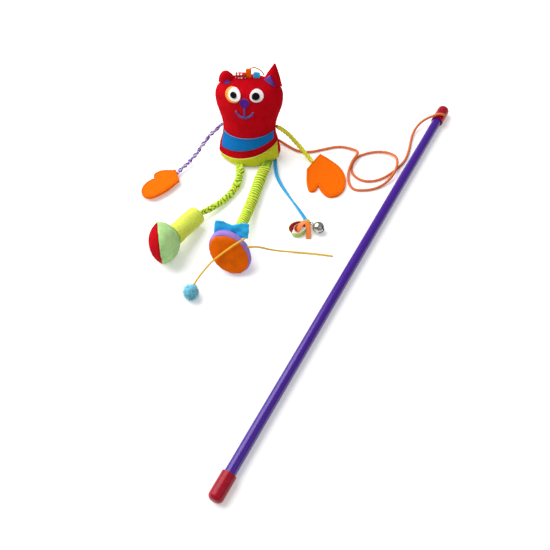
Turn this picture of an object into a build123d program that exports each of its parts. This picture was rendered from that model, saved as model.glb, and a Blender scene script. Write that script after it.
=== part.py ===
from build123d import *
import math
import os

# Cat teaser wand: a capped plastic rod, an elastic tether and a sitting plush cat with cord limbs.
# Frame: +X to the cat's left side, -Y the way the cat faces, +Z up, Z = 0 the surface that all of it lies on.
# All sizes are in millimetres and all angles in degrees.

# Wand
ROD_DIAMETER = 8.8
ROD_WALL = 1.2
ROD_LENGTH = 449.0
CAP_WALL = 1.3
CAP_LENGTH = 21.5
CAP_END = 2.0
CAP_EDGE_RADIUS = 4.0
CAP_CLEARANCE = 0.05
WAND_CENTRE_X = 39.01
WAND_HEADING = 28.2

# Tether
TETHER_DIAMETER = 2.5
TETHER_HOLE_CLEARANCE = 0.15
TETHER_WRAP_GAP = 0.5
TETHER_WRAP_FROM_RIM = 2.6
TETHER_WRAP_TURN = 28.2
TETHER_HOLE_ANGLE = 25.0
TETHER_LEAVE_ANGLE = 120.0
TETHER_BEND_RADIUS = 2.6
STOPPER_KNOT_DIAMETER = 5.4
END_KNOT_DIAMETER = 4.4
LEAST_SELF_GAP = 0.4

# Plush body: height, width, bulge of the front and bulge of the back of each level section
PLUSH_X = -50.3
PLUSH_Y = 137.5
PLUSH_YAW = -3.0
PLUSH_LEAN = 14.0
BODY_LEVELS = [
    (0.0, 50.0, 13.0, 16.0),
    (5.0, 59.0, 17.0, 20.0),
    (18.0, 56.0, 18.5, 21.0),
    (31.0, 50.5, 17.5, 20.0),
    (47.0, 58.0, 19.0, 20.0),
    (60.0, 64.0, 20.0, 20.0),
    (68.0, 62.0, 18.5, 17.5),
    (74.0, 54.0, 13.5, 12.0),
    (78.5, 36.0, 4.5, 4.5),
]
VELOUR = 1.2
STUFFING_GAP = 0.1
FELT = 1.2
SEAT_GAP = 0.35

# Ears: foot and tip of the centre line (across, up), then width and half thickness of each section
EAR_RIGHT_FOOT = (18.5, 60.0)
EAR_RIGHT_TIP = (23.1, 92.0)
EAR_RIGHT_SECTIONS = [(0.0, 21.0, 4.5), (0.45, 18.4, 4.2), (0.8, 8.4, 2.4), (1.0, 1.6, 0.8)]
EAR_LEFT_FOOT = (-17.8, 60.0)
EAR_LEFT_TIP = (-21.2, 83.6)
EAR_LEFT_SECTIONS = [(0.0, 20.0, 4.5), (0.55, 17.0, 4.2), (0.85, 12.4, 3.4), (1.0, 5.4, 1.8)]

# Arms and mittens
ARM_LEFT_DIAMETER = 4.2
ARM_RIGHT_DIAMETER = 4.0
MITTEN_LAYER = 1.5
MITTEN_LIFT = 0.1
MITTEN_LEFT_TILT = 8.0

# Legs
LEG_LEFT_TOP_DIAMETER = 8.8
LEG_LEFT_END_DIAMETER = 5.4
LEG_LEFT_RIBS = 34
LEG_RIGHT_TOP_DIAMETER = 11.0
LEG_RIGHT_END_DIAMETER = 9.6
LEG_RIGHT_RIBS = 32
RIB_DEPTH = 0.8
CORE_DIAMETER = 2.4
CORE_CLEARANCE = 0.3

# Feet
FOOT_LEFT_RADIUS = 18.3
FOOT_LEFT_UPPER_DEPTH = 16.5
FOOT_LEFT_SOLE_DEPTH = 10.0
FOOT_LEFT_HEADING = 188.0
CUFF_DIAMETER = 17.4
FOOT_RIGHT_LONG = 20.0
FOOT_RIGHT_SHORT = 14.0
FOOT_RIGHT_SOLE_DEPTH = 4.0
FOOT_RIGHT_FACE_UP = 30.0
FOOT_RIGHT_ROLL = -50.0
FOOT_RIGHT_DRIFT = (1.5, 2.0)
FOOT_RIGHT_LEVELS = [(0.0, 1.0, 0.0), (4.0, 1.04, 0.8), (9.0, 0.95, 0.8), (14.0, 0.7, 0.8), (17.5, 0.3, 0.8)]
BOW_WIDTH = 29.0
BOW_HEIGHT = 13.0
BOW_WAIST = 6.5
BOW_ROLL = -7.0
BOW_THICKNESS = 2.0

# Strings and pom-pom
STRING_DIAMETER = 1.5
POMPOM_DIAMETER = 14.4

# Tail, ribbons and bell
TAIL_DIAMETER = 3.6
RIBBON_THICKNESS = 1.0
BELL_DIAMETER = 11.0
BELL_WALL = 0.5
BELL_SLOT = 1.2
BELL_LOOP_RADIUS = 1.7
BELL_LOOP_WIRE = 0.9
PELLET_DIAMETER = 4.2
PELLET_GAP = 0.3

# Top of the head
TAB_THICKNESS = 1.6
THREAD_DIAMETER = 1.2

# Derived sizes
ROD_RADIUS = ROD_DIAMETER / 2
BORE_RADIUS = ROD_RADIUS - ROD_WALL
CAP_RADIUS = ROD_RADIUS + CAP_CLEARANCE + CAP_WALL
TETHER_RADIUS = TETHER_DIAMETER / 2
STRING_RADIUS = STRING_DIAMETER / 2
TAIL_RADIUS = TAIL_DIAMETER / 2
LEAN_SLOPE = math.tan(math.radians(PLUSH_LEAN))
BODY_TOP = BODY_LEVELS[-1][0]
PLUSH = Location((PLUSH_X, PLUSH_Y, 0), (0, 0, PLUSH_YAW))
UP = Vector(0, 0, 1)


def report_fit(name, value, least):
    """Print a measured clearance beside the least that it may be."""
    print(f"{name}: {value:.2f} mm, least {least:.2f} mm")


def corner_radii(points):
    """The largest tangent arcs that a route's runs leave room for, one at each corner."""
    radii = []
    for before, corner, after in zip(points, points[1:], points[2:]):
        run_in = Vector(corner) - Vector(before)
        run_out = Vector(after) - Vector(corner)
        half_turn = math.radians(run_in.get_angle(run_out)) / 2
        radii.append(0.45 * min(run_in.length, run_out.length) / math.tan(half_turn))
    return radii


def route(points):
    """Straight runs joined by tangent arcs."""
    return FilletPolyline(*points, radius=corner_radii(points))


def cord(name, points, diameter):
    """A round cord along a route; prints its tightest radius and its volume against section times length."""
    path = route(points)
    section = Plane(origin=path @ 0, z_dir=path % 0) * Circle(diameter / 2)
    tube = sweep(section, path=path)
    share = tube.volume / (path.length * math.pi * diameter**2 / 4)
    tightest = min(corner_radii(points)) / diameter
    print(f"{name}: length {path.length:.1f} mm, tightest {tightest:.1f} diameters, volume share {share:.4f}")
    return tube


def ball(place, diameter):
    """A sphere at a place, its seam turned to the lower back."""
    return Pos(*place) * Rot(0, 0, 120) * Sphere(diameter / 2)


def least_self_gap(points, diameter, apart):
    """Least gap of a cord to itself, measured between points that are further apart along it."""
    path = route(points)
    count = int(path.length)
    places = [path @ (i / count) for i in range(count + 1)]
    gaps = [
        (places[i] - places[j]).length - diameter
        for i in range(count + 1)
        for j in range(i + apart, count + 1)
    ]
    return min(gaps)


# Wand

HEADING = Vector(math.sin(math.radians(WAND_HEADING)), math.cos(math.radians(WAND_HEADING)), 0)
SIDE = Vector(HEADING.Y, -HEADING.X, 0)
WAND_CENTRE = Vector(WAND_CENTRE_X, 0, CAP_RADIUS)


def wand_plane(along):
    """Plane across the rod at a distance from its middle: x to the rod's right, y up, seen from the handle."""
    return Plane(origin=WAND_CENTRE + HEADING * along, x_dir=SIDE, z_dir=HEADING * -1)


WRAP_ALONG = ROD_LENGTH / 2 + CAP_END - CAP_LENGTH + TETHER_WRAP_FROM_RIM
WRAP_RADIUS = CAP_RADIUS + TETHER_RADIUS + TETHER_WRAP_GAP
WRAP_PLACE = wand_plane(WRAP_ALONG).location * Rot(0, TETHER_WRAP_TURN, 0)


def wrap_path():
    """The tether's way out of the rod: out through the hole, bent over, round the cap and off to the floor."""
    hole = math.radians(TETHER_HOLE_ANGLE)
    outward = Vector(math.cos(hole), math.sin(hole))
    bend_start = math.sqrt((WRAP_RADIUS - TETHER_BEND_RADIUS) ** 2 - TETHER_BEND_RADIUS**2)
    wrap_start = TETHER_HOLE_ANGLE + math.degrees(math.atan2(TETHER_BEND_RADIUS, bend_start))
    exit_run = Line((0, 0), outward * bend_start)
    bend = JernArc(exit_run @ 1, exit_run % 1, TETHER_BEND_RADIUS, wrap_start + 90 - TETHER_HOLE_ANGLE)
    hug = JernArc(bend @ 1, bend % 1, WRAP_RADIUS, TETHER_LEAVE_ANGLE - wrap_start)
    leave = Line(hug @ 1, hug @ 1 + (hug % 1) * TETHER_DIAMETER)
    flat = Wire([*exit_run.edges(), *bend.edges(), *hug.edges(), *leave.edges()])
    return WRAP_PLACE * flat


def wrap_tube(diameter):
    """A tube along the tether's way out of the rod."""
    path = wrap_path()
    return sweep(Plane(origin=path @ 0, z_dir=path % 0) * Circle(diameter / 2), path=path)


TETHER_START = wrap_path() @ 1
TETHER_LEAVE = wrap_path() % 1


def rod_tube():
    """Hollow rod with the tether's hole near its tip."""
    tube = Cylinder(ROD_RADIUS, ROD_LENGTH) - Cylinder(BORE_RADIUS, ROD_LENGTH)
    placed = wand_plane(0).location * tube
    return placed - wrap_tube(TETHER_DIAMETER + 2 * TETHER_HOLE_CLEARANCE)


def end_cap(sign):
    """Soft cap with a rounded closed end, seated on one end of the rod."""
    shell = Pos(0, 0, CAP_LENGTH / 2) * Cylinder(CAP_RADIUS, CAP_LENGTH)
    closed_end = shell.faces().sort_by(Axis.Z)[-1]
    shell = fillet(closed_end.edges(), CAP_EDGE_RADIUS)
    depth = CAP_LENGTH - CAP_END
    shell -= Pos(0, 0, depth / 2) * Cylinder(ROD_RADIUS + CAP_CLEARANCE, depth)
    rim = ROD_LENGTH / 2 + CAP_END - CAP_LENGTH
    seat = Plane(origin=WAND_CENTRE + HEADING * (rim * sign), x_dir=SIDE, z_dir=HEADING * sign)
    return seat.location * shell


def tip_cap():
    """Cap on the tip, slotted for the tether."""
    return end_cap(1) - wrap_tube(TETHER_DIAMETER + 2 * TETHER_HOLE_CLEARANCE)


def tether_lead():
    """Stopper knot inside the rod and the first stretch of the tether, round the tip cap."""
    knot = ball(WAND_CENTRE + HEADING * WRAP_ALONG, STOPPER_KNOT_DIAMETER)
    return knot + wrap_tube(TETHER_DIAMETER)


# Plush body, in its own frame: x across to the cat's left, y to its back, z up

def lens(height, width, front, back, centre):
    """Level section of two arcs that meet at the side seams."""
    left = (-width / 2, centre, height)
    right = (width / 2, centre, height)
    front_arc = ThreePointArc(left, (0, centre - front, height), right)
    back_arc = ThreePointArc(right, (0, centre + back, height), left)
    return make_face([front_arc, back_arc])


def body_form(outset):
    """The plush body's plump form, grown by an outset or shrunk by a negative one."""
    sections = []
    for height, width, front, back in BODY_LEVELS:
        level = min(max(height, -outset), BODY_TOP + min(outset, 0))
        section = lens(level, width + 2 * outset, front + outset, back + outset, level * LEAN_SLOPE)
        sections.append(section)
    return loft(sections)


BODY = body_form(0)
FELT_FORMS = [BODY, body_form(FELT), body_form(2 * FELT), body_form(3 * FELT)]
SEAM = Plane(origin=(0, 0, 0), x_dir=(1, 0, 0), z_dir=(0, -1, LEAN_SLOPE))


def panel(keep):
    """Front or back velour panel: one half of the body's skin."""
    skin = BODY - body_form(-VELOUR)
    return PLUSH * split(skin, bisect_by=SEAM, keep=keep)


def stuffing():
    """Filling inside the two panels."""
    return PLUSH * body_form(-VELOUR - STUFFING_GAP)


def on_front(outline, layer):
    """A felt or thread shape laid on the front, one layer above another, cut to a face-on outline."""
    back_plane = Plane.XZ.offset(-BODY_TOP * LEAN_SLOPE)
    prism = extrude(back_plane * outline, amount=2 * BODY_TOP)
    patch = split((prism & FELT_FORMS[layer + 1]) - FELT_FORMS[layer], bisect_by=SEAM, keep=Keep.TOP)
    return PLUSH * patch


def disc(across, up, half_width, half_height, turn=0.0):
    """Oval outline on the face, turned by that many degrees."""
    return Pos(across, up) * Rot(0, 0, turn) * Ellipse(half_width, half_height)


def band_outline(top, bottom):
    """Outline between two edges, each a curve through three points."""
    upper = Spline(*top)
    lower = Spline(*bottom)
    ends = [Line(top[0], bottom[0]), Line(top[-1], bottom[-1])]
    return make_face([upper, lower, *ends])


FACE_ACROSS = -2.9
MOUTH_TOP = 63.6
MOUTH_BOTTOM = 54.2
SMILE_HALF = 7.9
SMILE_RISE = 5.4
STITCH_WIDTH = 1.6


def mouth_outline():
    """Stitched mouth: a straight line down from the nose and a smile."""
    stem = Pos(FACE_ACROSS, (MOUTH_TOP + MOUTH_BOTTOM) / 2) * Rectangle(STITCH_WIDTH, MOUTH_TOP - MOUTH_BOTTOM)
    corner = MOUTH_BOTTOM + SMILE_RISE
    left = (FACE_ACROSS - SMILE_HALF, corner)
    right = (FACE_ACROSS + SMILE_HALF, corner)
    smile = trace(ThreePointArc(left, (FACE_ACROSS, MOUTH_BOTTOM), right), STITCH_WIDTH)
    return stem + smile


BLUE_TOP = [(-24.4, 29.7), (-7.9, 31.5), (22.6, 32.7)]
BLUE_BOTTOM = [(-26.4, 15.0), (-7.3, 19.3), (23.2, 25.5)]
LIME_TOP = [(-28.0, 7.2), (-5.2, 12.0), (26.5, 20.0)]
LIME_BOTTOM = [(-28.0, 2.2), (-4.0, 1.6), (28.3, 2.0)]


def ear_form(foot, tip, sections, outset):
    """Plump ear in the seam plane, from inside the head to its tip."""
    start = Vector(foot[0], foot[1] * LEAN_SLOPE, foot[1])
    end = Vector(tip[0], tip[1] * LEAN_SLOPE, tip[1])
    axis = (end - start).normalized()
    faces = []
    for share, width, half in sections:
        plane = Plane(origin=start + (end - start) * share, x_dir=(1, 0, -axis.X / axis.Z), z_dir=axis)
        outline = lens(0, width + 2 * outset, half + outset, half + outset, 0)
        faces.append(plane.location * outline)
    return loft(faces)


def ear(foot, tip, sections):
    """Ear, cut to the head that it is sewn to."""
    return PLUSH * (ear_form(foot, tip, sections, 0) - BODY)


def ear_patch(foot, tip, sections, corners):
    """Inner-ear felt on the front of an ear, cut to a face-on triangle."""
    form = ear_form(foot, tip, sections, FELT) - ear_form(foot, tip, sections, 0)
    prism = extrude(Plane.XZ * make_face(Polyline(*corners, close=True)), amount=BODY_LEVELS[0][1], both=True)
    front = split(form & prism, bisect_by=SEAM, keep=Keep.TOP)
    return PLUSH * (front - BODY)


EAR_PATCH_RIGHT = [(19.4, 83.6), (13.8, 78.6), (24.4, 73.8)]
EAR_PATCH_LEFT = [(-19.4, 78.8), (-23.0, 74.8), (-15.4, 76.2)]


# Trim along the top seam

def top_tab(across, width, height):
    """Folded felt or ribbon tab that stands out of the top seam."""
    base = BODY_TOP - VELOUR
    slab = Pos(across, 0, base + height / 2) * Box(width, TAB_THICKNESS, height)
    slab = fillet(slab.edges().filter_by(Axis.Y).sort_by(Axis.Z)[-2:], width / 4)
    return Pos(0, BODY_TOP * LEAN_SLOPE, 0) * slab


RIBBON_ACROSS = -7.5
RIBBON_WIDTH = 9.0
RIBBON_HEIGHT = 5.6
ORANGE_ACROSS = -0.3
ORANGE_WIDTH = 5.0
ORANGE_HEIGHT = 10.5
BLUE_ACROSS = 6.9
BLUE_WIDTH = 6.0
BLUE_HEIGHT = 7.0


def ribbon_loop_top():
    """Ribbon folded into a flat loop, on the left of the top seam."""
    base = BODY_TOP - VELOUR
    outer = Pos(RIBBON_ACROSS, 0, base + RIBBON_HEIGHT / 2) * Box(RIBBON_WIDTH, 3 * TAB_THICKNESS, RIBBON_HEIGHT)
    outer = fillet(outer.edges().filter_by(Axis.X).sort_by(Axis.Z)[-2:], TAB_THICKNESS)
    inner_height = RIBBON_HEIGHT - RIBBON_THICKNESS
    inner = Pos(RIBBON_ACROSS, 0, base + inner_height / 2) * Box(RIBBON_WIDTH, TAB_THICKNESS, inner_height)
    return PLUSH * (Pos(0, BODY_TOP * LEAN_SLOPE, 0) * (outer - inner) - BODY)


def thread_points():
    """Route of the thin thread loop from behind the orange tab to the foot of the right ear."""
    depth = BODY_TOP * LEAN_SLOPE + TAB_THICKNESS / 2 + THREAD_DIAMETER
    top = BODY_TOP + ORANGE_HEIGHT - VELOUR
    foot = BODY_TOP + THREAD_DIAMETER
    shape = [
        (ORANGE_ACROSS - 1.0, foot),
        (ORANGE_ACROSS - 0.6, foot + 4.0),
        (ORANGE_ACROSS + 1.4, top - 1.0),
        (ORANGE_ACROSS + 5.2, top + 0.4),
        (ORANGE_ACROSS + 9.4, top - 1.6),
        (ORANGE_ACROSS + 12.6, foot + 3.2),
        (ORANGE_ACROSS + 13.8, foot),
    ]
    return [(across, depth, up) for across, up in shape]


# Tether tab on the back and the tether's free stretch

ANCHOR_ACROSS = 14.0
ANCHOR_UP = 7.0
ANCHOR_TAB_LENGTH = 3.0
ANCHOR_TAB_WIDTH = 5.0
ANCHOR_TURN = 26.6


def anchor_surface():
    """Where the tether's tab leaves the back, in the plush's own frame."""
    levels = [level for level in BODY_LEVELS if level[0] >= ANCHOR_UP]
    half, back = levels[0][1] / 2, levels[0][3]
    radius = (half**2 + back**2) / (2 * back)
    bulge = math.sqrt(radius**2 - ANCHOR_ACROSS**2) - (radius - back)
    return Vector(ANCHOR_ACROSS, ANCHOR_UP * LEAN_SLOPE + bulge, ANCHOR_UP)


ANCHOR_OUT = Vector(math.sin(math.radians(ANCHOR_TURN)), math.cos(math.radians(ANCHOR_TURN)), 0)
PIVOT_LOCAL = anchor_surface() + ANCHOR_OUT * (ANCHOR_TAB_LENGTH + SEAT_GAP + END_KNOT_DIAMETER / 2)
PIVOT = (PLUSH * Pos(*PIVOT_LOCAL)).position


def tether_tab():
    """Sewn tab on the plush's back that the tether's end knot is tied to."""
    depth = 2 * ANCHOR_TAB_LENGTH
    slab = Pos(0, ANCHOR_TAB_LENGTH - depth / 2, 0) * Box(FELT, depth, ANCHOR_TAB_WIDTH)
    placed = Location(anchor_surface(), (0, 0, -ANCHOR_TURN)) * slab
    return PLUSH * (placed - BODY)


FLOOR_LINE = TETHER_RADIUS
CROSSING_TOP = 5.2
TETHER_ROUTE = [
    TETHER_START,
    TETHER_START + TETHER_LEAVE * 7.0,
    (117.4, 178.4, 4.5),
    (110.9, 168.8, 2.0),
    (107.2, 156.4, FLOOR_LINE),
    (104.4, 144.0, FLOOR_LINE),
    (98.6, 130.5, FLOOR_LINE),
    (87.8, 118.0, FLOOR_LINE),
    (74.0, 108.2, FLOOR_LINE),
    (60.8, 106.6, FLOOR_LINE),
    (52.8, 114.6, FLOOR_LINE),
    (52.4, 126.2, FLOOR_LINE),
    (59.0, 137.2, FLOOR_LINE),
    (70.2, 143.0, FLOOR_LINE),
    (82.4, 142.6, 1.8),
    (91.4, 134.8, 3.9),
    (93.4, 126.8, CROSSING_TOP),
    (90.6, 115.4, CROSSING_TOP),
    (83.4, 104.8, 2.4),
    (73.0, 97.4, FLOOR_LINE),
    (60.0, 93.4, FLOOR_LINE),
    (49.6, 97.0, FLOOR_LINE),
    (45.8, 108.0, FLOOR_LINE),
    (46.8, 122.0, FLOOR_LINE),
    (50.6, 136.0, FLOOR_LINE),
    (47.2, 147.6, FLOOR_LINE),
    (36.4, 151.8, FLOOR_LINE),
    (22.0, 149.4, FLOOR_LINE),
    (9.0, 144.0, FLOOR_LINE),
    (-3.0, 144.6, FLOOR_LINE),
    (-13.4, 151.4, FLOOR_LINE),
    (-22.0, 157.6, 2.8),
    PIVOT,
]


def end_knot():
    """Knot on the tether's end, in front of the tab."""
    return ball(PIVOT, END_KNOT_DIAMETER) - cord("tether in knot", TETHER_ROUTE, TETHER_DIAMETER)


# Arms

def beside_seam(across, up, reach):
    """A place beside the side seam, in the part's frame."""
    return (PLUSH * Pos(across + math.copysign(reach, across), up * LEAN_SLOPE, up)).position


SHOULDER_UP, WAIST_WIDTH = BODY_LEVELS[3][:2]
SHOULDER_LEFT = beside_seam(-WAIST_WIDTH / 2, SHOULDER_UP, ARM_LEFT_DIAMETER / 2 + SEAT_GAP)
SHOULDER_RIGHT = beside_seam(WAIST_WIDTH / 2, SHOULDER_UP, ARM_RIGHT_DIAMETER / 2 + SEAT_GAP)
ARM_LEFT_ROUTE = [
    SHOULDER_LEFT,
    (-87.4, 145.0, 22.4),
    (-96.0, 139.0, 12.4),
    (-103.2, 131.0, 6.2),
    (-110.6, 122.0, 3.8),
    (-116.8, 113.8, 3.6),
]
ARM_RIGHT_ROUTE = [
    SHOULDER_RIGHT,
    (-15.4, 147.0, 23.0),
    (-6.6, 143.8, 13.8),
    (1.4, 138.0, 6.8),
    (8.8, 129.4, 2.8),
]


def arm(name, points, diameter):
    """Cord arm with a rounded root in the seam and a rounded end at the wrist."""
    return cord(name, points, diameter) + ball(points[0], diameter) + ball(points[-1], diameter)


# Mitten outlines from above, on their own wrist: x to the finger tips, y away from the thumb
MITTEN_LEFT_HAND = [
    (3.3, -7.4),
    (14.7, -9.4),
    (28.7, -9.5),
    (36.3, -7.0),
    (39.5, -1.0),
    (36.4, 7.4),
    (30.2, 11.8),
    (17.4, 12.0),
]
MITTEN_LEFT_THUMB = [(17.4, 12.0), (16.2, 16.4), (10.4, 17.8), (3.7, 13.6), (-3.3, 7.4)]
MITTEN_RIGHT_HAND = [
    (-5.1, -11.2),
    (12.6, -16.4),
    (24.6, -16.8),
    (35.7, -12.8),
    (45.0, -4.4),
    (48.2, 5.0),
    (45.6, 12.6),
    (38.0, 15.0),
    (28.4, 12.8),
]
MITTEN_RIGHT_THUMB = [
    (28.4, 12.8),
    (29.9, 15.4),
    (32.0, 19.0),
    (30.6, 23.4),
    (23.4, 22.4),
    (14.6, 17.5),
    (5.1, 11.2),
]
MITTEN_LEFT_WRIST = (-117.6, 108.1)
MITTEN_LEFT_HEADING = 222.0
MITTEN_LEFT_LOW_SIDE = 17.8
MITTEN_RIGHT_WRIST = (10.8, 128.1)
MITTEN_RIGHT_HEADING = 302.0


def mitten_outline(hand, thumb):
    """Closed outline of a curve round the hand, a curve round the thumb and a straight wrist."""
    return make_face([Spline(*hand), Spline(*thumb), Line(thumb[-1], hand[0])])


def mitten_layer(wrist, heading, tilt, low_side, hand, thumb, level):
    """One of a mitten's two felt layers, turned thumb side down about the hand's length."""
    height = MITTEN_LIFT + MITTEN_LAYER + low_side * math.sin(math.radians(tilt))
    place = Location((wrist[0], wrist[1], height), (0, 0, heading)) * Rot(180 + tilt, 0, 0)
    return place * extrude(Plane.XY.offset(level) * mitten_outline(hand, thumb), amount=MITTEN_LAYER)


def mitten_left(level):
    """A layer of the left mitten."""
    return mitten_layer(
        MITTEN_LEFT_WRIST,
        MITTEN_LEFT_HEADING,
        MITTEN_LEFT_TILT,
        MITTEN_LEFT_LOW_SIDE,
        MITTEN_LEFT_HAND,
        MITTEN_LEFT_THUMB,
        level,
    )


def mitten_right(level):
    """A layer of the right mitten."""
    return mitten_layer(
        MITTEN_RIGHT_WRIST, MITTEN_RIGHT_HEADING, 0, 0, MITTEN_RIGHT_HAND, MITTEN_RIGHT_THUMB, level
    )


# Legs

def front_of(across, up, reach):
    """A place in front of the plush, past the felt on it, in the part's frame."""
    low, high = BODY_LEVELS[0], BODY_LEVELS[1]
    share = min(up / high[0], 1.0)
    half = (low[1] + share * (high[1] - low[1])) / 2
    front = low[2] + share * (high[2] - low[2])
    radius = (half**2 + front**2) / (2 * front)
    bulge = math.sqrt(radius**2 - across**2) - (radius - front)
    out = Vector(across, -(radius - front) - bulge).normalized()
    place = Vector(across, up * LEAN_SLOPE - bulge, up) + Vector(out.X, out.Y, 0) * reach
    return (PLUSH * Pos(*place)).position


FOOT_RIGHT_CENTRE = Vector(-64.6, 3.2, 17.9)
FACE_UP = math.radians(FOOT_RIGHT_FACE_UP)
FOOT_RIGHT_PLANE = Plane(
    origin=FOOT_RIGHT_CENTRE, x_dir=(1, 0, 0), z_dir=(0, -math.cos(FACE_UP), math.sin(FACE_UP))
)


def by_sole(across, up, out):
    """A place in the right foot's own frame, given in the part's frame."""
    return (FOOT_RIGHT_PLANE.location * Pos(across, up, out)).position


RIGHT_ANKLE = by_sole(7.4, 11.4, -19.6)
LEG_LEFT_ACROSS = -6.6
LEG_RIGHT_ACROSS = 13.0
HIP_REACH = FELT + 2 * SEAT_GAP
HIP_LEFT = front_of(LEG_LEFT_ACROSS, LEG_LEFT_TOP_DIAMETER / 2, LEG_LEFT_TOP_DIAMETER / 2 + HIP_REACH)
HIP_RIGHT = front_of(LEG_RIGHT_ACROSS, LEG_RIGHT_TOP_DIAMETER / 2, LEG_RIGHT_TOP_DIAMETER / 2 + HIP_REACH)
LEG_LEFT_ROUTE = [
    HIP_LEFT,
    (-59.4, 104.4, 4.4),
    (-63.4, 91.4, 4.0),
    (-70.6, 79.2, 3.6),
    (-81.6, 67.4, 4.6),
    (-94.8, 56.4, 8.4),
]
LEG_RIGHT_ROUTE = [
    HIP_RIGHT,
    (-40.4, 101.0, 5.6),
    (-44.4, 83.6, 5.7),
    (-48.8, 66.4, 7.0),
    (-52.8, 49.6, 11.0),
    (-55.8, 36.6, 16.0),
    RIGHT_ANKLE,
]


ROUND_END_STEPS = [76, 52, 26]


def gathered_sleeve(points, top_diameter, end_diameter, ribs):
    """Gathered fabric tube: ribs along the leg's line, rounded ends and a bore for the elastic core."""
    path = route(points)
    circles = []
    for angle in ROUND_END_STEPS:
        reach = top_diameter / 2 * math.sin(math.radians(angle))
        end = Plane(origin=path @ 0 - (path % 0) * reach, x_dir=UP.cross(path % 0), z_dir=path % 0)
        circles.append(end * Circle(top_diameter / 2 * math.cos(math.radians(angle))))
    for step in range(4 * ribs):
        share = step / (4 * ribs - 1)
        tangent = path % share
        plane = Plane(origin=path @ share, x_dir=UP.cross(tangent), z_dir=tangent)
        radius = (top_diameter + share * (end_diameter - top_diameter)) / 2
        valley = step % 4 in (0, 3)
        circles.append(plane * Circle(radius - RIB_DEPTH if valley else radius))
    for angle in reversed(ROUND_END_STEPS):
        reach = end_diameter / 2 * math.sin(math.radians(angle))
        end = Plane(origin=path @ 1 + (path % 1) * reach, x_dir=UP.cross(path % 1), z_dir=path % 1)
        circles.append(end * Circle(end_diameter / 2 * math.cos(math.radians(angle))))
    sleeve = loft(circles, ruled=True)
    bore = sweep(Plane(origin=path @ 0, z_dir=path % 0) * Circle(CORE_DIAMETER / 2 + CORE_CLEARANCE), path=path)
    return sleeve - bore


# Feet

FOOT_LEFT_CENTRE = Vector(-123.0, 15.2, FOOT_LEFT_RADIUS + 0.1)
FOOT_LEFT_OUT = Vector(math.cos(math.radians(FOOT_LEFT_HEADING)), math.sin(math.radians(FOOT_LEFT_HEADING)), 0)
FOOT_LEFT_PLANE = Plane(origin=FOOT_LEFT_CENTRE, x_dir=UP, z_dir=FOOT_LEFT_OUT)
CUFF_AIM = Vector(-113.4, 23.0, 17.2)


def dome(radius, depth):
    """Cap of a ball, flat on z = 0 and swelling to +z."""
    round_radius = (radius**2 + depth**2) / (2 * depth)
    return split(Pos(0, 0, depth - round_radius) * Sphere(round_radius), bisect_by=Plane.XY, keep=Keep.TOP)


def foot_left_upper():
    """Stuffed mint upper, swelling towards the ankle."""
    return FOOT_LEFT_PLANE.location * (Rot(180, 0, 0) * dome(FOOT_LEFT_RADIUS, FOOT_LEFT_UPPER_DEPTH))


def foot_left_sole():
    """Stuffed red sole."""
    return FOOT_LEFT_PLANE.location * dome(FOOT_LEFT_RADIUS, FOOT_LEFT_SOLE_DEPTH)


def ankle_cuff():
    """Rolled felt cuff between the left leg and its foot."""
    ankle = Vector(LEG_LEFT_ROUTE[-1])
    along = (CUFF_AIM - ankle).normalized()
    start = ankle + along * (LEG_LEFT_END_DIAMETER / 2 + SEAT_GAP)
    length = (CUFF_AIM - start).length
    roll = Pos(0, 0, length / 2) * Cylinder(CUFF_DIAMETER / 2, length)
    roll = fillet(roll.faces().sort_by(Axis.Z)[0].edges(), CUFF_DIAMETER / 32)
    return Plane(origin=start, z_dir=along).location * roll - foot_left_upper()


def oval(share):
    """The right foot's oval section at a share of the sole's size, turned as the foot lies."""
    return Rot(0, 0, FOOT_RIGHT_ROLL) * Ellipse(FOOT_RIGHT_LONG * share, FOOT_RIGHT_SHORT * share)


def foot_right_upper():
    """Stuffed lavender upper behind the oval sole."""
    across, up = FOOT_RIGHT_DRIFT
    sections = [
        Pos(across * drift, up * drift, -depth) * oval(share) for depth, share, drift in FOOT_RIGHT_LEVELS
    ]
    return FOOT_RIGHT_PLANE.location * loft(sections)


def foot_right_sole():
    """Padded orange sole."""
    angles = [0, 25, 50, 70, 84]
    sections = [
        Pos(0, 0, FOOT_RIGHT_SOLE_DEPTH * math.sin(math.radians(angle))) * oval(math.cos(math.radians(angle)))
        for angle in angles
    ]
    return FOOT_RIGHT_PLANE.location * loft(sections)


BOW_ACROSS = 2.2
BOW_UP = 18.6
BOW_BACK = 9.5


def ankle_bow():
    """Felt bow sewn on the top of the right foot."""
    half = BOW_WIDTH / 2
    tall = BOW_HEIGHT / 2
    waist = BOW_WAIST / 2
    corners = [(-half, tall), (-half / 2, tall), (0, waist), (half / 2, tall), (half, tall)]
    mirrored = [(across, -up) for across, up in reversed(corners)]
    outline = make_face(Polyline(*corners, *mirrored, close=True))
    slab = extrude(outline, amount=BOW_THICKNESS)
    seat = FOOT_RIGHT_PLANE.location * Pos(BOW_ACROSS, BOW_UP, -BOW_BACK - BOW_THICKNESS) * Rot(0, 0, BOW_ROLL)
    return seat * slab - foot_right_upper()


# Strings at the right foot

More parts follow.
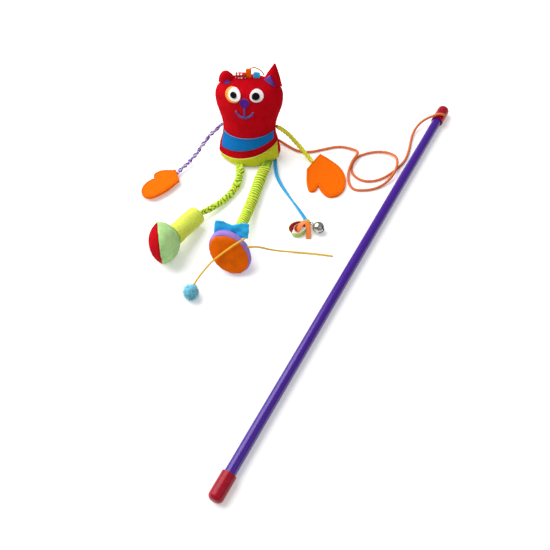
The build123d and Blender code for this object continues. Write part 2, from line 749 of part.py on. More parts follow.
STRING_LIE = FOOT_RIGHT_SOLE_DEPTH + SEAT_GAP + STRING_RADIUS
STRING_KNOT = by_sole(13.6, 14.0, -1.0)
POMPOM_CENTRE = Vector(-95.4, -27.6, POMPOM_DIAMETER / 2)
STRING_FRONT_ROUTE = [
    STRING_KNOT,
    by_sole(10.2, 13.4, 3.0),
    by_sole(3.6, 9.8, STRING_LIE),
    by_sole(-5.4, 3.0, STRING_LIE + 0.1),
    by_sole(-14.4, -4.4, STRING_LIE - 0.2),
    (-86.8, -8.6, 9.0),
    (-91.6, -15.4, 7.0),
    (-94.0, -22.0, 7.2),
]
STRING_TAIL_ROUTE = [
    by_sole(11.0, 5.5, -4.0),
    by_sole(18.8, 6.0, -2.0),
    (-40.0, 11.8, 17.6),
    (-28.6, 15.4, 8.4),
    (-16.6, 18.4, 2.6),
    (-3.6, 18.8, STRING_RADIUS),
    (10.0, 17.2, STRING_RADIUS),
    (23.8, 14.9, STRING_RADIUS),
]


def pompom():
    """Wool pom-pom on the string's end."""
    return ball(POMPOM_CENTRE, POMPOM_DIAMETER) - cord("string in pom-pom", STRING_FRONT_ROUTE, STRING_DIAMETER)


# Tail, ribbons and bell

TAIL_ACROSS = 22.0
TAIL_ROOT_UP = TAIL_RADIUS + 0.6
TAIL_ROOT = front_of(TAIL_ACROSS, TAIL_ROOT_UP, TAIL_RADIUS + FELT + 4 * SEAT_GAP)
TAIL_ROUTE = [
    TAIL_ROOT,
    (-25.6, 114.4, 2.2),
    (-21.6, 100.6, TAIL_RADIUS),
    (-14.6, 86.4, TAIL_RADIUS),
    (-7.0, 72.4, TAIL_RADIUS),
    (0.0, 59.0, 2.0),
    (3.0, 50.4, 3.0),
]
KNOT_BAND_DIAMETER = 6.0
KNOT_CENTRE = Vector(TAIL_ROUTE[-1])


def tail_cord():
    """Cord tail with a rounded root."""
    return cord("tail", TAIL_ROUTE, TAIL_DIAMETER) + ball(TAIL_ROUTE[0], TAIL_DIAMETER)


def knot_band():
    """Knot that ties the ribbons and the bell to the tail's end."""
    return ball(KNOT_CENTRE, KNOT_BAND_DIAMETER) - cord("tail in knot", TAIL_ROUTE, TAIL_DIAMETER)


def ribbon_loop(heading, length, width, low, high):
    """Ribbon bent into an upright loop that starts at the knot, between two heights."""
    outer = Ellipse(length / 2, width / 2)
    inner = Ellipse(length / 2 - RIBBON_THICKNESS, width / 2 - RIBBON_THICKNESS)
    reach = KNOT_BAND_DIAMETER / 2 + length / 2 - RIBBON_THICKNESS / 2
    band = Pos(reach, 0, low) * extrude(outer - inner, amount=high - low)
    placed = Location((KNOT_CENTRE.X, KNOT_CENTRE.Y, 0), (0, 0, heading)) * band
    return placed - ball(KNOT_CENTRE, KNOT_BAND_DIAMETER)


RIBBON_RED = (201.0, 13.0, 5.2, 0.2, 6.0)
RIBBON_GREEN = (246.0, 15.0, 4.6, 0.2, 3.0)
RIBBON_ORANGE = (263.0, 17.0, 6.4, 3.4, 8.2)

BELL_RADIUS = BELL_DIAMETER / 2
BELL_HEADING = -38.0
BELL_OUT = Vector(math.cos(math.radians(BELL_HEADING)), math.sin(math.radians(BELL_HEADING)), 0)
BELL_LOOP_REACH = BELL_LOOP_RADIUS + BELL_LOOP_WIRE / 2
BELL_HANG = KNOT_BAND_DIAMETER / 2 + SEAT_GAP + BELL_LOOP_REACH
BELL_DROP = BELL_RADIUS - KNOT_CENTRE.Z
BELL_PIVOT = KNOT_CENTRE + BELL_OUT * math.sqrt(BELL_HANG**2 - BELL_DROP**2) + UP * BELL_DROP
BELL_CENTRE = BELL_PIVOT + BELL_OUT * (BELL_LOOP_RADIUS + BELL_RADIUS)
BELL_PLANE = Plane(origin=BELL_CENTRE, x_dir=(-BELL_OUT.Y, BELL_OUT.X, 0), z_dir=BELL_OUT)


def bell_half(keep):
    """Half of the pressed bell's shell; the outer half has the crossed slots."""
    shell = Sphere(BELL_RADIUS) - Sphere(BELL_RADIUS - BELL_WALL)
    if keep == Keep.TOP:
        slot_depth = BELL_RADIUS * 0.8
        slot = Pos(0, 0, BELL_RADIUS - slot_depth / 2) * Box(BELL_SLOT, BELL_DIAMETER * 0.8, slot_depth)
        shell = shell - slot - Rot(0, 0, 90) * slot
    half = split(shell, bisect_by=Plane.XY, keep=keep)
    return BELL_PLANE.location * half


def bell_loop():
    """Wire loop on the bell's crown."""
    ring = Location(BELL_PIVOT, (0, 0, BELL_HEADING)) * (Rot(90, 0, 0) * Torus(BELL_LOOP_RADIUS, BELL_LOOP_WIRE / 2))
    return ring - BELL_PLANE.location * Sphere(BELL_RADIUS)


def bell_pellet():
    """Loose pellet lying in the bottom of the bell."""
    low = BELL_WALL + PELLET_GAP + PELLET_DIAMETER / 2
    return ball((BELL_CENTRE.X, BELL_CENTRE.Y, low), PELLET_DIAMETER)


NODES = {
    "rod_tube": rod_tube(),
    "handle_cap": end_cap(-1),
    "tip_cap": tip_cap(),
    "tether_lead": tether_lead(),
    "tether_cord": cord("tether", TETHER_ROUTE, TETHER_DIAMETER),
    "tether_end_knot": end_knot(),
    "tether_tab": tether_tab(),
    "front_panel": panel(Keep.TOP),
    "back_panel": panel(Keep.BOTTOM),
    "stuffing": stuffing(),
    "ear_right": ear(EAR_RIGHT_FOOT, EAR_RIGHT_TIP, EAR_RIGHT_SECTIONS),
    "ear_left": ear(EAR_LEFT_FOOT, EAR_LEFT_TIP, EAR_LEFT_SECTIONS),
    "ear_patch_right": ear_patch(EAR_RIGHT_FOOT, EAR_RIGHT_TIP, EAR_RIGHT_SECTIONS, EAR_PATCH_RIGHT),
    "ear_patch_left": ear_patch(EAR_LEFT_FOOT, EAR_LEFT_TIP, EAR_LEFT_SECTIONS, EAR_PATCH_LEFT),
    "eye_patch_left": on_front(disc(-13.6, 70.8, 6.9, 4.7, 6.0), 0),
    "eye_white_left": on_front(disc(-12.0, 71.9, 5.7, 3.8, 6.0), 1),
    "pupil_left": on_front(disc(-12.9, 72.4, 3.0, 1.7, 6.0), 2),
    "eye_white_right": on_front(disc(7.9, 71.7, 6.2, 3.7, -6.0), 0),
    "pupil_right": on_front(disc(7.1, 72.2, 3.6, 2.0, -6.0), 1),
    "nose": on_front(disc(FACE_ACROSS, 67.0, 4.2, 3.4), 0),
    "mouth_stitch": on_front(mouth_outline(), 0),
    "blue_stripe": on_front(band_outline(BLUE_TOP, BLUE_BOTTOM), 0),
    "lime_band": on_front(band_outline(LIME_TOP, LIME_BOTTOM), 0),
    "ribbon_loop_top": ribbon_loop_top(),
    "top_tab_orange": PLUSH * (top_tab(ORANGE_ACROSS, ORANGE_WIDTH, ORANGE_HEIGHT) - BODY),
    "top_tab_blue": PLUSH * (top_tab(BLUE_ACROSS, BLUE_WIDTH, BLUE_HEIGHT) - BODY),
    "thread_loop": PLUSH * cord("thread loop", thread_points(), THREAD_DIAMETER),
    "arm_left_cord": arm("left arm", ARM_LEFT_ROUTE, ARM_LEFT_DIAMETER),
    "mitten_left_front": mitten_left(-MITTEN_LAYER),
    "mitten_left_back": mitten_left(0),
    "arm_right_cord": arm("right arm", ARM_RIGHT_ROUTE, ARM_RIGHT_DIAMETER),
    "mitten_right_front": mitten_right(-MITTEN_LAYER),
    "mitten_right_back": mitten_right(0),
    "leg_left_sleeve": gathered_sleeve(LEG_LEFT_ROUTE, LEG_LEFT_TOP_DIAMETER, LEG_LEFT_END_DIAMETER, LEG_LEFT_RIBS),
    "leg_left_core": cord("left leg core", LEG_LEFT_ROUTE, CORE_DIAMETER),
    "ankle_cuff": ankle_cuff(),
    "foot_left_upper": foot_left_upper(),
    "foot_left_sole": foot_left_sole(),
    "leg_right_sleeve": gathered_sleeve(
        LEG_RIGHT_ROUTE, LEG_RIGHT_TOP_DIAMETER, LEG_RIGHT_END_DIAMETER, LEG_RIGHT_RIBS
    ),
    "leg_right_core": cord("right leg core", LEG_RIGHT_ROUTE, CORE_DIAMETER),
    "ankle_bow": ankle_bow(),
    "foot_right_upper": foot_right_upper(),
    "foot_right_sole": foot_right_sole(),
    "toe_string_front": cord("front string", STRING_FRONT_ROUTE, STRING_DIAMETER),
    "toe_string_tail": cord("string tail", STRING_TAIL_ROUTE, STRING_DIAMETER) - foot_right_upper(),
    "pompom": pompom(),
    "tail_cord": tail_cord(),
    "knot_band": knot_band(),
    "ribbon_red": ribbon_loop(*RIBBON_RED),
    "ribbon_green": ribbon_loop(*RIBBON_GREEN),
    "ribbon_orange": ribbon_loop(*RIBBON_ORANGE),
    "bell_cup": bell_half(Keep.TOP),
    "bell_cap": bell_half(Keep.BOTTOM),
    "bell_loop": bell_loop(),
    "bell_pellet": bell_pellet(),
}

report_fit("tether's gap to itself", least_self_gap(TETHER_ROUTE, TETHER_DIAMETER, 20), LEAST_SELF_GAP)

os.makedirs("parts", exist_ok=True)
for name, shape in NODES.items():
    export_step(shape, f"parts/{name}.step")
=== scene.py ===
"""Cat teaser wand: a plush cat on an elastic tether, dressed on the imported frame."""

import math

import bmesh
import bpy
from bpy.props import FloatProperty, FloatVectorProperty, IntProperty, PointerProperty
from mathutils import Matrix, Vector, noise
from mathutils.bvhtree import BVHTree


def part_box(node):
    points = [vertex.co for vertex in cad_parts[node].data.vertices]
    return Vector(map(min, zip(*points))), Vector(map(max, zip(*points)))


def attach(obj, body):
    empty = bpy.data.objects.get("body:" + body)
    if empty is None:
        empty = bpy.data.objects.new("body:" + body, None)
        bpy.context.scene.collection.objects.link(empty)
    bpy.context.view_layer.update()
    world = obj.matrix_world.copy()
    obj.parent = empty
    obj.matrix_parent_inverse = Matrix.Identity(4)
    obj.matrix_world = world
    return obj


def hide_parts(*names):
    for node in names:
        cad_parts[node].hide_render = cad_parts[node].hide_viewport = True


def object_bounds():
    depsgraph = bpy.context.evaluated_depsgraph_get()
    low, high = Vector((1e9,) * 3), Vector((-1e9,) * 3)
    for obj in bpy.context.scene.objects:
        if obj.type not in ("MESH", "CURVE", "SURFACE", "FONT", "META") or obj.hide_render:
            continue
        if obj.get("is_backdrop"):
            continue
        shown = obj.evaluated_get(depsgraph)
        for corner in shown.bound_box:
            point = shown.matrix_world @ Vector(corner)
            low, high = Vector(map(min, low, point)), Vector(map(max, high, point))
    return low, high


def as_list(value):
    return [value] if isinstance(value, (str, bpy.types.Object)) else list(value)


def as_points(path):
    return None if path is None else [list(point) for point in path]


bl_info = {
    "name": "Cat teaser wand",
    "version": (1, 0, 0),
    "blender": (4, 5, 0),
    "location": "View3D > Sidebar > Teaser wand",
    "description": "Dresses the packed wand, tether and plush cat with cloth, cords and finishes",
    "category": "Object",
}

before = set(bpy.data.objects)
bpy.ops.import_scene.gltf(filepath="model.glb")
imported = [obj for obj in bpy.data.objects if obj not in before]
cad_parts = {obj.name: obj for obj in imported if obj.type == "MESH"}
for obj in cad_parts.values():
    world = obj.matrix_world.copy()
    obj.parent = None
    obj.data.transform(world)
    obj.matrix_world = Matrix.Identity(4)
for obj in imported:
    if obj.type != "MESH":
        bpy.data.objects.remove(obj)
CAD_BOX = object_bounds()
MM = 0.001
UP = Vector((0.0, 0.0, 1.0))
FLOOR_GAP = 0.02

# Routes of the cords, in millimetres in the frame's axes

TETHER_LEAD = [
    (137.1, 182.96, 5.75),
    (140.3, 182.96, 7.2),
    (143.3, 182.96, 8.7),
    (143.3, 182.96, 11.6),
    (141.0, 182.96, 12.9),
    (138.0, 182.96, 13.7),
    (135.3, 182.96, 13.2),
]
TETHER_ROUTE = [
    (131.2, 182.96, 11.0),
    (125.13, 182.96, 7.5),
    (117.9, 178.6, 4.5),
    (111.2, 168.8, 2.0),
    (107.6, 156.4, 1.25),
    (104.6, 144.0, 1.25),
    (98.6, 128.6, 1.25),
    (86.4, 115.0, 1.25),
    (72.2, 104.2, 1.25),
    (57.6, 102.4, 1.25),
    (47.8, 110.4, 1.25),
    (46.4, 122.8, 1.25),
    (53.2, 135.6, 1.25),
    (66.2, 141.8, 1.25),
    (80.6, 142.4, 1.8),
    (90.4, 134.8, 3.9),
    (91.2, 125.2, 5.2),
    (88.4, 114.2, 5.2),
    (81.4, 103.4, 2.4),
    (70.6, 94.6, 1.25),
    (57.2, 91.2, 1.25),
    (46.2, 92.4, 1.25),
    (42.8, 102.6, 1.25),
    (43.4, 114.6, 2.4),
    (47.8, 126.4, 4.8),
    (53.8, 136.0, 5.0),
    (54.2, 141.6, 3.4),
    (46.4, 147.4, 1.6),
    (36.8, 150.2, 1.25),
    (22.2, 146.2, 1.25),
    (9.0, 141.8, 1.25),
    (-3.0, 142.6, 1.25),
    (-13.4, 150.4, 1.25),
    (-22.0, 157.2, 2.8),
    (-32.57, 160.73, 7.0),
]
ARM_LEFT_ROUTE = [
    (-77.56, 146.67, 31.0),
    (-87.4, 145.0, 22.4),
    (-96.0, 139.0, 12.4),
    (-103.2, 131.0, 6.2),
    (-110.6, 122.0, 3.8),
    (-116.8, 113.8, 3.6),
]
ARM_RIGHT_ROUTE = [
    (-22.33, 143.77, 31.0),
    (-15.4, 147.0, 23.0),
    (-6.6, 143.8, 13.8),
    (1.4, 138.0, 6.8),
    (8.8, 129.4, 2.8),
]
LEG_LEFT_ROUTE = [
    (-59.22, 116.99, 4.4),
    (-59.4, 104.4, 4.4),
    (-63.4, 91.4, 4.0),
    (-70.6, 79.2, 3.6),
    (-81.6, 67.4, 4.6),
    (-94.8, 56.4, 8.4),
]
LEG_RIGHT_ROUTE = [
    (-35.54, 116.81, 5.5),
    (-40.4, 101.0, 5.6),
    (-44.4, 83.6, 5.7),
    (-48.8, 66.4, 7.0),
    (-52.8, 49.6, 11.0),
    (-55.8, 36.6, 16.0),
    (-57.2, 25.87, 17.97),
]
STRING_FRONT_ROUTE = [
    (-51.0, 11.07, 29.52),
    (-54.4, 7.3, 31.0),
    (-61.0, 3.68, 28.94),
    (-70.0, 0.2, 23.1),
    (-79.0, -3.24, 16.54),
    (-86.8, -8.6, 9.0),
    (-91.6, -15.4, 7.0),
    (-94.0, -22.0, 7.2),
]
STRING_TAIL_ROUTE = [
    (-53.6, 9.41, 20.66),
    (-45.8, 7.93, 22.1),
    (-40.0, 11.8, 17.6),
    (-28.6, 15.4, 8.4),
    (-16.6, 18.4, 2.6),
    (-3.6, 18.8, 0.75),
    (10.0, 17.2, 0.75),
    (23.8, 14.9, 0.75),
]
TAIL_ROUTE = [
    (-25.79, 127.37, 2.4),
    (-25.6, 114.4, 2.2),
    (-21.6, 100.6, 1.8),
    (-14.6, 86.4, 1.8),
    (-7.0, 72.4, 1.8),
    (0.0, 59.0, 2.0),
    (3.0, 50.4, 3.0),
]
THREAD_ROUTE = [
    (-50.47, 159.11, 79.7),
    (-50.07, 159.09, 83.7),
    (-48.07, 158.99, 86.8),
    (-44.28, 158.79, 88.2),
    (-40.08, 158.57, 86.2),
    (-36.89, 158.4, 82.9),
    (-35.69, 158.34, 79.7),
]

# Turns of the ribbon on the tail: heading in degrees, length, width, lowest and highest edge, and how many
# degrees each side leans out, the front side first and then the back

RIBBON_TURNS = [
    (222.0, 16.6, 13.0, 0.2, 6.4, -6.0, 46.0),
    (224.0, 11.4, 8.0, 0.3, 4.8, 30.0, 56.0),
]
RIBBON_STEPS = 72
RIBBON_ACROSS = 6

# Middle line of the ribbon that is tied over the knot, from its end inside the loop to its end in front

STRAP_ROUTE = [
    (-6.6, 42.4, 0.6),
    (-4.6, 44.8, 4.2),
    (-0.6, 48.2, 7.4),
    (2.6, 46.8, 7.6),
    (3.6, 42.4, 6.0),
    (3.6, 37.8, 3.0),
    (3.4, 34.2, 0.6),
]
STRAP_WIDTH = 4.3

# Tail trim: pale woven edge, where a loop starts, half a ribbon's thickness, and the band wound on the knot

PALE_EDGE = (0.74, 0.8, 0.5)
RIBBON_START = 3.5
RIBBON_HALF = 0.22
BAND_LENGTH = 4.0
BAND_REACH = 2.1
BAND_STRAND = 0.85

# How the gathers of each leg lie, and how far a cord is tucked into what holds it

LEG_GATHERS = {
    "left": {"ribs": 18, "slant": 1, "depth": 0.5, "uneven": 0.26, "wander": 1.1},
    "right": {"ribs": 31, "slant": 0, "depth": 0.16, "uneven": 0.06, "wander": 0.4},
}
LEG_ROOT = 9.0
TUCK = 3.0
TAIL_TUCK = 3.2

# Knot at the tether's end

KNOT_STEPS = 120
KNOT_SIZE = 0.5
KNOT_STRAND = 0.85

# Plush pile, stitches and wool

PILE_WIDTH = 0.05
PILE_LEAN = 1.0
BODY_PILE = 2.2
FOOT_PILE = 2.4
WOOL_LEAN = 0.8
TUFT_WIDTH = 0.7
STRAND_WIDTH = 0.14
STITCH_STEP = 2.4
STITCH_LENGTH = 1.5
STITCH_WIDTH = 0.2
FACE_FRONT = Vector((0.0, -1.0, 0.1))
SPOT_TONE = (0.92, 0.9, 0.88)

# Stuffing: the simulation's scale and length, and the cloth's settings

SIM_SCALE = 8.0
SIM_FRAMES = 20
CLOTH = {
    "quality": 6,
    "mass": 0.25,
    "tension_stiffness": 12.0,
    "compression_stiffness": 12.0,
    "bending_stiffness": 0.3,
    "use_pressure": True,
    "vertex_group_mass": "held",
}

# Stage, in metres: the floor, each lamp's place, size and power, and what the lamps and the camera face

FLOOR_REACH = 3.0
FLOOR_DROP = 0.1 * MM
FLOOR_GLOW = 0.26
WORLD_LIGHT = 0.36
LAMPS = {"key": ((-0.75, 0.45, 1.0), 1.4, 26.0), "fill": ((0.7, -0.6, 0.9), 1.2, 1.5)}
LAMP_AIM = Vector((-0.02, 0.05, 0.0))
CAMERA_AIM = Vector((-26.0, -4.9, 0.0)) * MM
SENSOR = 36.0

# Properties that a user would change


def linear(hexadecimal):
    """Linear red, green and blue of a written screen colour."""
    shares = [int(hexadecimal[place : place + 2], 16) / 255 for place in (0, 2, 4)]
    return tuple(s / 12.92 if s <= 0.04045 else ((s + 0.055) / 1.055) ** 2.4 for s in shares)


def colour(name, description, hexadecimal):
    """A colour property with its default."""
    return FloatVectorProperty(
        name=name, description=description, default=linear(hexadecimal), subtype="COLOR", min=0.0, max=1.0
    )


def length(name, description, millimetres):
    """A length property with its default."""
    return FloatProperty(
        name=name, description=description, default=millimetres * MM, unit="LENGTH", precision=5
    )


class WandColours(bpy.types.PropertyGroup):
    """Colours of the wand, the cords and the plush cat's cloth."""

    rod: colour("Rod", "Violet plastic of the tube", "3e0a8a")
    cap: colour("Caps", "Crimson vinyl of both end caps", "9e0020")
    tether: colour("Tether", "Terracotta elastic", "ee7c46")
    velour: colour("Velour", "Red pile of the body and ears", "cb0618")
    purple: colour("Purple felt", "Nose and inner ears", "561f94")
    yellow: colour("Yellow felt", "Patch round one eye", "f6b04a")
    white: colour("White felt", "Whites of the eyes", "f4ecec")
    black: colour("Black felt", "Pupils", "120c10")
    mouth: colour("Mouth thread", "Blue-violet stitching", "4a4a9c")
    stripe: colour("Stripe felt", "Blue stripe across the body", "0c74c0")
    band: colour("Band felt", "Lime band at the base", "d4da30")
    orange: colour("Orange felt", "Mittens and one head tab", "ff6e02")
    sky: colour("Sky felt", "Bow and the other head tab", "2ea6f0")
    thread: colour("Loop thread", "Thin thread loop on the head", "d08048")
    arm_left: colour("Left arm", "Purple ribbon cord", "7338b0")
    # The glint colour is also painted in patches on the purple ribbon as painted highlights.
    glint: colour("Glint", "Silvery strand in the left arm", "d8d0ea")
    arm_right: colour("Right arm", "Yellow cord", "f0ee40")
    leg_lime: colour("Leg lime", "Light green of the gathered legs", "d2e84a")
    leg_green: colour("Leg green", "Dark green of the gathered legs", "4f8c1a")
    leg_yellow: colour("Leg yellow", "Yellow thread in the right leg", "e4d63c")
    cuff: colour("Cuff felt", "Pale lime ankle cuff", "e2ec5c")
    mint: colour("Mint plush", "Left foot's upper", "c4f0a0")
    red_sole: colour("Red sole", "Left foot's sole", "c40a18")
    lavender: colour("Lavender plush", "Right foot's upper", "b08ce0")
    orange_sole: colour("Orange sole", "Right foot's sole", "fa7008")
    gold: colour("Golden string", "String at the right foot", "f2c234")
    wool: colour("Wool", "Sky-blue pom-pom", "9cf6ff")
    tail: colour("Tail", "Sky-blue tail cord", "3cb2ea")
    ribbon_red: colour("Red ribbon", "Ribbon loop on the tail", "c8141c")
    ribbon_green: colour("Green ribbon", "Ribbon loop on the tail", "bcd46c")
    ribbon_orange: colour("Orange ribbon", "Ribbon loop on the tail", "ff8428")
    silver: colour("Silver", "Polished metal of the bell", "bcbab4")
    floor: colour("Floor", "Pale surface under the object", "fbfbfb")


class WandSizes(bpy.types.PropertyGroup):
    """Sizes of the cloth and cord detail."""

    tether_width: length("Tether width", "Diameter of the elastic", 2.5)
    string_width: length("String width", "Diameter of the golden string", 1.5)
    thread_width: length("Thread width", "Diameter of the thread loop", 1.2)
    arm_left_width: length("Left arm width", "Diameter of the purple cord", 4.2)
    arm_right_width: length("Right arm width", "Diameter of the yellow cord", 4.0)
    tail_width: length("Tail width", "Width of the double tail cord", 3.6)
    leg_left_top: length("Left leg top", "Diameter at the hip", 8.8)
    leg_left_end: length("Left leg end", "Diameter at the cuff", 5.4)
    leg_right_top: length("Right leg top", "Diameter at the hip", 11.0)
    leg_right_end: length("Right leg end", "Diameter at the foot", 9.6)
    pile: length("Pile", "Length of the velour's fibres", 0.9)
    tuft: length("Wool tuft", "Length of the pom-pom's thick tufts", 2.9)
    tufts: IntProperty(name="Wool tufts", description="Thick tufts in the pom-pom", default=270, min=1)
    strand: length("Wool strand", "Length of the pom-pom's loose fibres", 3.2)
    strands: IntProperty(
        name="Wool strands", description="Loose fibres in the pom-pom", default=1700, min=1
    )
    elevation: FloatProperty(
        name="Elevation", description="Camera above the horizon", default=math.radians(54), subtype="ANGLE"
    )
    distance: length("Camera distance", "From the camera to what it looks at", 595.0)
    lens: FloatProperty(name="Lens", description="Focal length on a 36 mm sensor", default=45.75)


def colours():
    """The colours in use."""
    return bpy.context.scene.wand_colours


def sizes():
    """The sizes in use."""
    return bpy.context.scene.wand_sizes


# Shaders written as expressions


class Value:
    """A shader socket that adds a Math node when it is used in an expression."""

    def __init__(self, shader, socket):
        self.shader = shader
        self.socket = socket

    def math(self, operation, *operands):
        """This value and others through a Math node."""
        return self.shader.node("ShaderNodeMath", {"operation": operation}, *operands)

    def __add__(self, other):
        return self.math("ADD", self, other)

    __radd__ = __add__

    def __sub__(self, other):
        return self.math("SUBTRACT", self, other)

    def __rsub__(self, other):
        return self.math("SUBTRACT", other, self)

    def __mul__(self, other):
        return self.math("MULTIPLY", self, other)

    __rmul__ = __mul__

    def __gt__(self, other):
        return self.math("GREATER_THAN", self, other)

    def sine(self):
        """Sine of the value."""
        return self.math("SINE", self)

    def size(self):
        """The value without its sign."""
        return self.math("ABSOLUTE", self)

    def whole(self):
        """The whole number under the value."""
        return self.math("FLOOR", self)

    def between(self, low, high):
        """0 below low and 1 above high, smooth between them."""
        settings = {"interpolation_type": "SMOOTHSTEP"}
        return self.shader.node("ShaderNodeMapRange", settings, self, low, high, 0.0, 1.0)


class Shader:
    """A material under construction."""

    def __init__(self, name):
        self.material = bpy.data.materials.new(name)
        self.material.use_nodes = True
        self.tree = self.material.node_tree
        self.surface = self.tree.nodes["Principled BSDF"]

    def node(self, kind, settings=None, *values, output=0, **named):
        """A node with its settings made first, then its sockets in order or by name; gives one output."""
        made = self.tree.nodes.new(kind)
        for key, setting in (settings or {}).items():
            setattr(made, key, setting)
        sockets = [(made.inputs[place], value) for place, value in enumerate(values)]
        sockets += [(made.inputs[key.replace("_", " ")], value) for key, value in named.items()]
        for socket, value in sockets:
            self.feed(socket, value)
        return Value(self, made.outputs[output])

    def feed(self, socket, value):
        """A socket linked to a value, or set to a number, vector or colour."""
        if isinstance(value, Value):
            self.tree.links.new(value.socket, socket)
        elif value is not None:
            socket.default_value = value

    def place(self):
        """Object coordinates in metres."""
        return self.node("ShaderNodeTexCoord", output="Object")

    def along(self):
        """Share of the turn round a cord, and millimetres along it."""
        uv = self.node("ShaderNodeUVMap", {"uv_map": "route"})
        parts = self.node("ShaderNodeSeparateXYZ", None, uv)
        return parts, Value(self, parts.socket.node.outputs[1])

    def marked(self, name):
        """A number kept on each vertex."""
        return self.node("ShaderNodeAttribute", {"attribute_name": name}, output="Fac")

    def grain(self, size, detail=4.0, roughness=0.6):
        """Noise whose lumps are about that many millimetres across."""
        values = {"Scale": 1 / (size * MM), "Detail": detail, "Roughness": roughness}
        return self.node("ShaderNodeTexNoise", None, Vector=self.place(), **values)

    def mix(self, share, first, second):
        """One colour over another by a share."""
        node = self.tree.nodes.new("ShaderNodeMix")
        node.data_type = "RGBA"
        self.feed(node.inputs[0], share)
        for socket, value in ((node.inputs[6], first), (node.inputs[7], second)):
            self.feed(socket, value if isinstance(value, Value) else (*value, 1.0))
        return Value(self, node.outputs[2])

    def bump(self, height, depth, strength=1.0):
        """Relief of that depth in millimetres on the surface."""
        normal = self.node("ShaderNodeBump", None, Strength=strength, Distance=depth * MM, Height=height)
        self.feed(self.surface.inputs["Normal"], normal)

    def finish(self, **sockets):
        """The principled surface's sockets, and the finished material."""
        for key, value in sockets.items():
            value = (*value, 1.0) if isinstance(value, tuple) and len(value) == 3 else value
            self.feed(self.surface.inputs[key.replace("_", " ")], value)
        return self.material


def shade(base, share):
    """A colour made darker (share under 1) or lighter (over 1)."""
    return tuple(min(1.0, part * share) for part in base)


def plastic(name, base):
    """Extruded tube: gloss with fine handling marks."""
    s = Shader(name)
    marks = s.grain(1.1, detail=5.0).between(0.45, 0.8)
    tone = s.mix(marks, base, shade(base, 1.08))
    return s.finish(Base_Color=tone, Roughness=marks * 0.08 + 0.22, Specular_IOR_Level=0.5)


def vinyl(name, base):
    """Dipped vinyl: soft gloss and a slightly uneven skin."""
    s = Shader(name)
    uneven = s.grain(3.0)
    s.bump(uneven, 0.12, 0.4)
    tone = s.mix(uneven.between(0.3, 0.7), shade(base, 0.85), shade(base, 1.12))
    return s.finish(Base_Color=tone, Roughness=uneven * 0.16 + 0.2, Specular_IOR_Level=0.25)


def velour(name, base):
    """Short pile: brushed patches, fine fibres and a velvet sheen."""
    s = Shader(name)
    brushed = s.grain(9.0).between(0.3, 0.7)
    fibre = s.grain(0.45, detail=3.0)
    s.bump(fibre, 0.35, 0.7)
    tone = s.mix(brushed, shade(base, 0.8), base)
    tone = s.mix(fibre.between(0.5, 0.8) * 0.35, tone, shade(base, 1.35))
    sheen = {"Sheen_Weight": 0.05, "Sheen_Roughness": 0.4, "Sheen_Tint": (*shade(base, 1.25), 1.0)}
    return s.finish(Base_Color=tone, Roughness=0.95, Specular_IOR_Level=0.06, **sheen)


def felt(name, base):
    """Pressed felt: matted fibres in two sizes, its cut edge made paler as a painted highlight."""
    s = Shader(name)
    mat = s.grain(1.6, detail=6.0, roughness=0.7)
    fibre = s.grain(0.35, detail=3.0)
    s.bump(mat * 0.6 + fibre * 0.4, 0.25, 0.6)
    tone = s.mix(mat.between(0.3, 0.72), shade(base, 0.84), shade(base, 1.08))
    edge = s.marked("cut_edge")
    # Painted highlight: the cut edge made paler.
    pale = tuple(0.55 * part + 0.45 for part in base)
    tone = s.mix(edge * 0.45, tone, pale)
    sheen = {"Sheen_Weight": 0.03, "Sheen_Roughness": 0.5, "Sheen_Tint": (*base, 1.0)}
    return s.finish(Base_Color=tone, Roughness=0.92, Specular_IOR_Level=0.08, **sheen)


def braid(name, base, pitch, plies=6.0):
    """Braided cord: two crossing families of strands along the route, painted darker where the weave sinks
    as painted shade and lighter where it rises as painted highlight.
    """
    s = Shader(name)
    turn, run = s.along()
    one = (turn * (math.tau * plies) + run * (math.tau / pitch)).sine()
    two = (turn * (math.tau * plies) - run * (math.tau / pitch)).sine()
    weave = one * two * 0.5 + 0.5
    s.bump(weave, 0.18, 0.8)
    # Tone follows the weave's relief: painted shade in its hollows, painted highlight on its crossings.
    tone = s.mix(weave, shade(base, 0.68), shade(base, 1.12))
    tone = s.mix(s.grain(4.0) * 0.35, tone, shade(base, 0.8))
    return s.finish(Base_Color=tone, Roughness=0.7, Specular_IOR_Level=0.25)


def twist(name, base, glint=None, pitch=1.1):
    """Plied strand: slanting threads, painted darker in the grooves between the plies as painted shade and
    lighter on their crowns as painted highlight, with glints where a second colour is given, painted in
    that paler colour as painted highlights.
    """
    s = Shader(name)
    turn, run = s.along()
    ply = (turn * (math.tau * 3) + run * (math.tau / pitch)).sine() * 0.5 + 0.5
    s.bump(ply, 0.12, 0.7)
    # Painted shade in the grooves between the plies and painted highlight on their crowns.
    tone = s.mix(ply, shade(base, 0.72), shade(base, 1.15))
    if glint:
        # Glints: patches of the paler second colour as painted highlights.
        tone = s.mix(s.grain(1.4).between(0.5, 0.58), tone, glint)
    return s.finish(Base_Color=tone, Roughness=0.55, Specular_IOR_Level=0.25)


def gather(name, light, dark, accent, ribs, accents):
    """Gathered cloth: dark in the folds, which is the cloth's dark second colour laid where the shade falls
    and so also painted shade, light on the ridges, some ribs in a third colour.
    """
    s = Shader(name)
    run = s.along()[1]
    ridge = s.marked("ridge")
    weave = s.grain(0.5, detail=3.0)
    s.bump(weave, 0.15, 0.6)
    picked = s.node("ShaderNodeTexWhiteNoise", {"noise_dimensions": "1D"}, W=(run * ribs).whole())
    # The dark colour fills the folds: partly the cloth's dark green, partly painted shade in the folds.
    tone = s.mix(ridge.between(0.25, 0.9), dark, light)
    tone = s.mix((picked > 1 - accents) * ridge.between(0.3, 0.7) * 0.8, tone, accent)
    tone = s.mix(s.grain(2.6).between(0.52, 0.66) * 0.45, tone, dark)
    tone = s.mix(weave.between(0.3, 0.7) * 0.3, tone, shade(light, 1.2))
    return s.finish(Base_Color=tone, Roughness=0.8, Specular_IOR_Level=0.25)


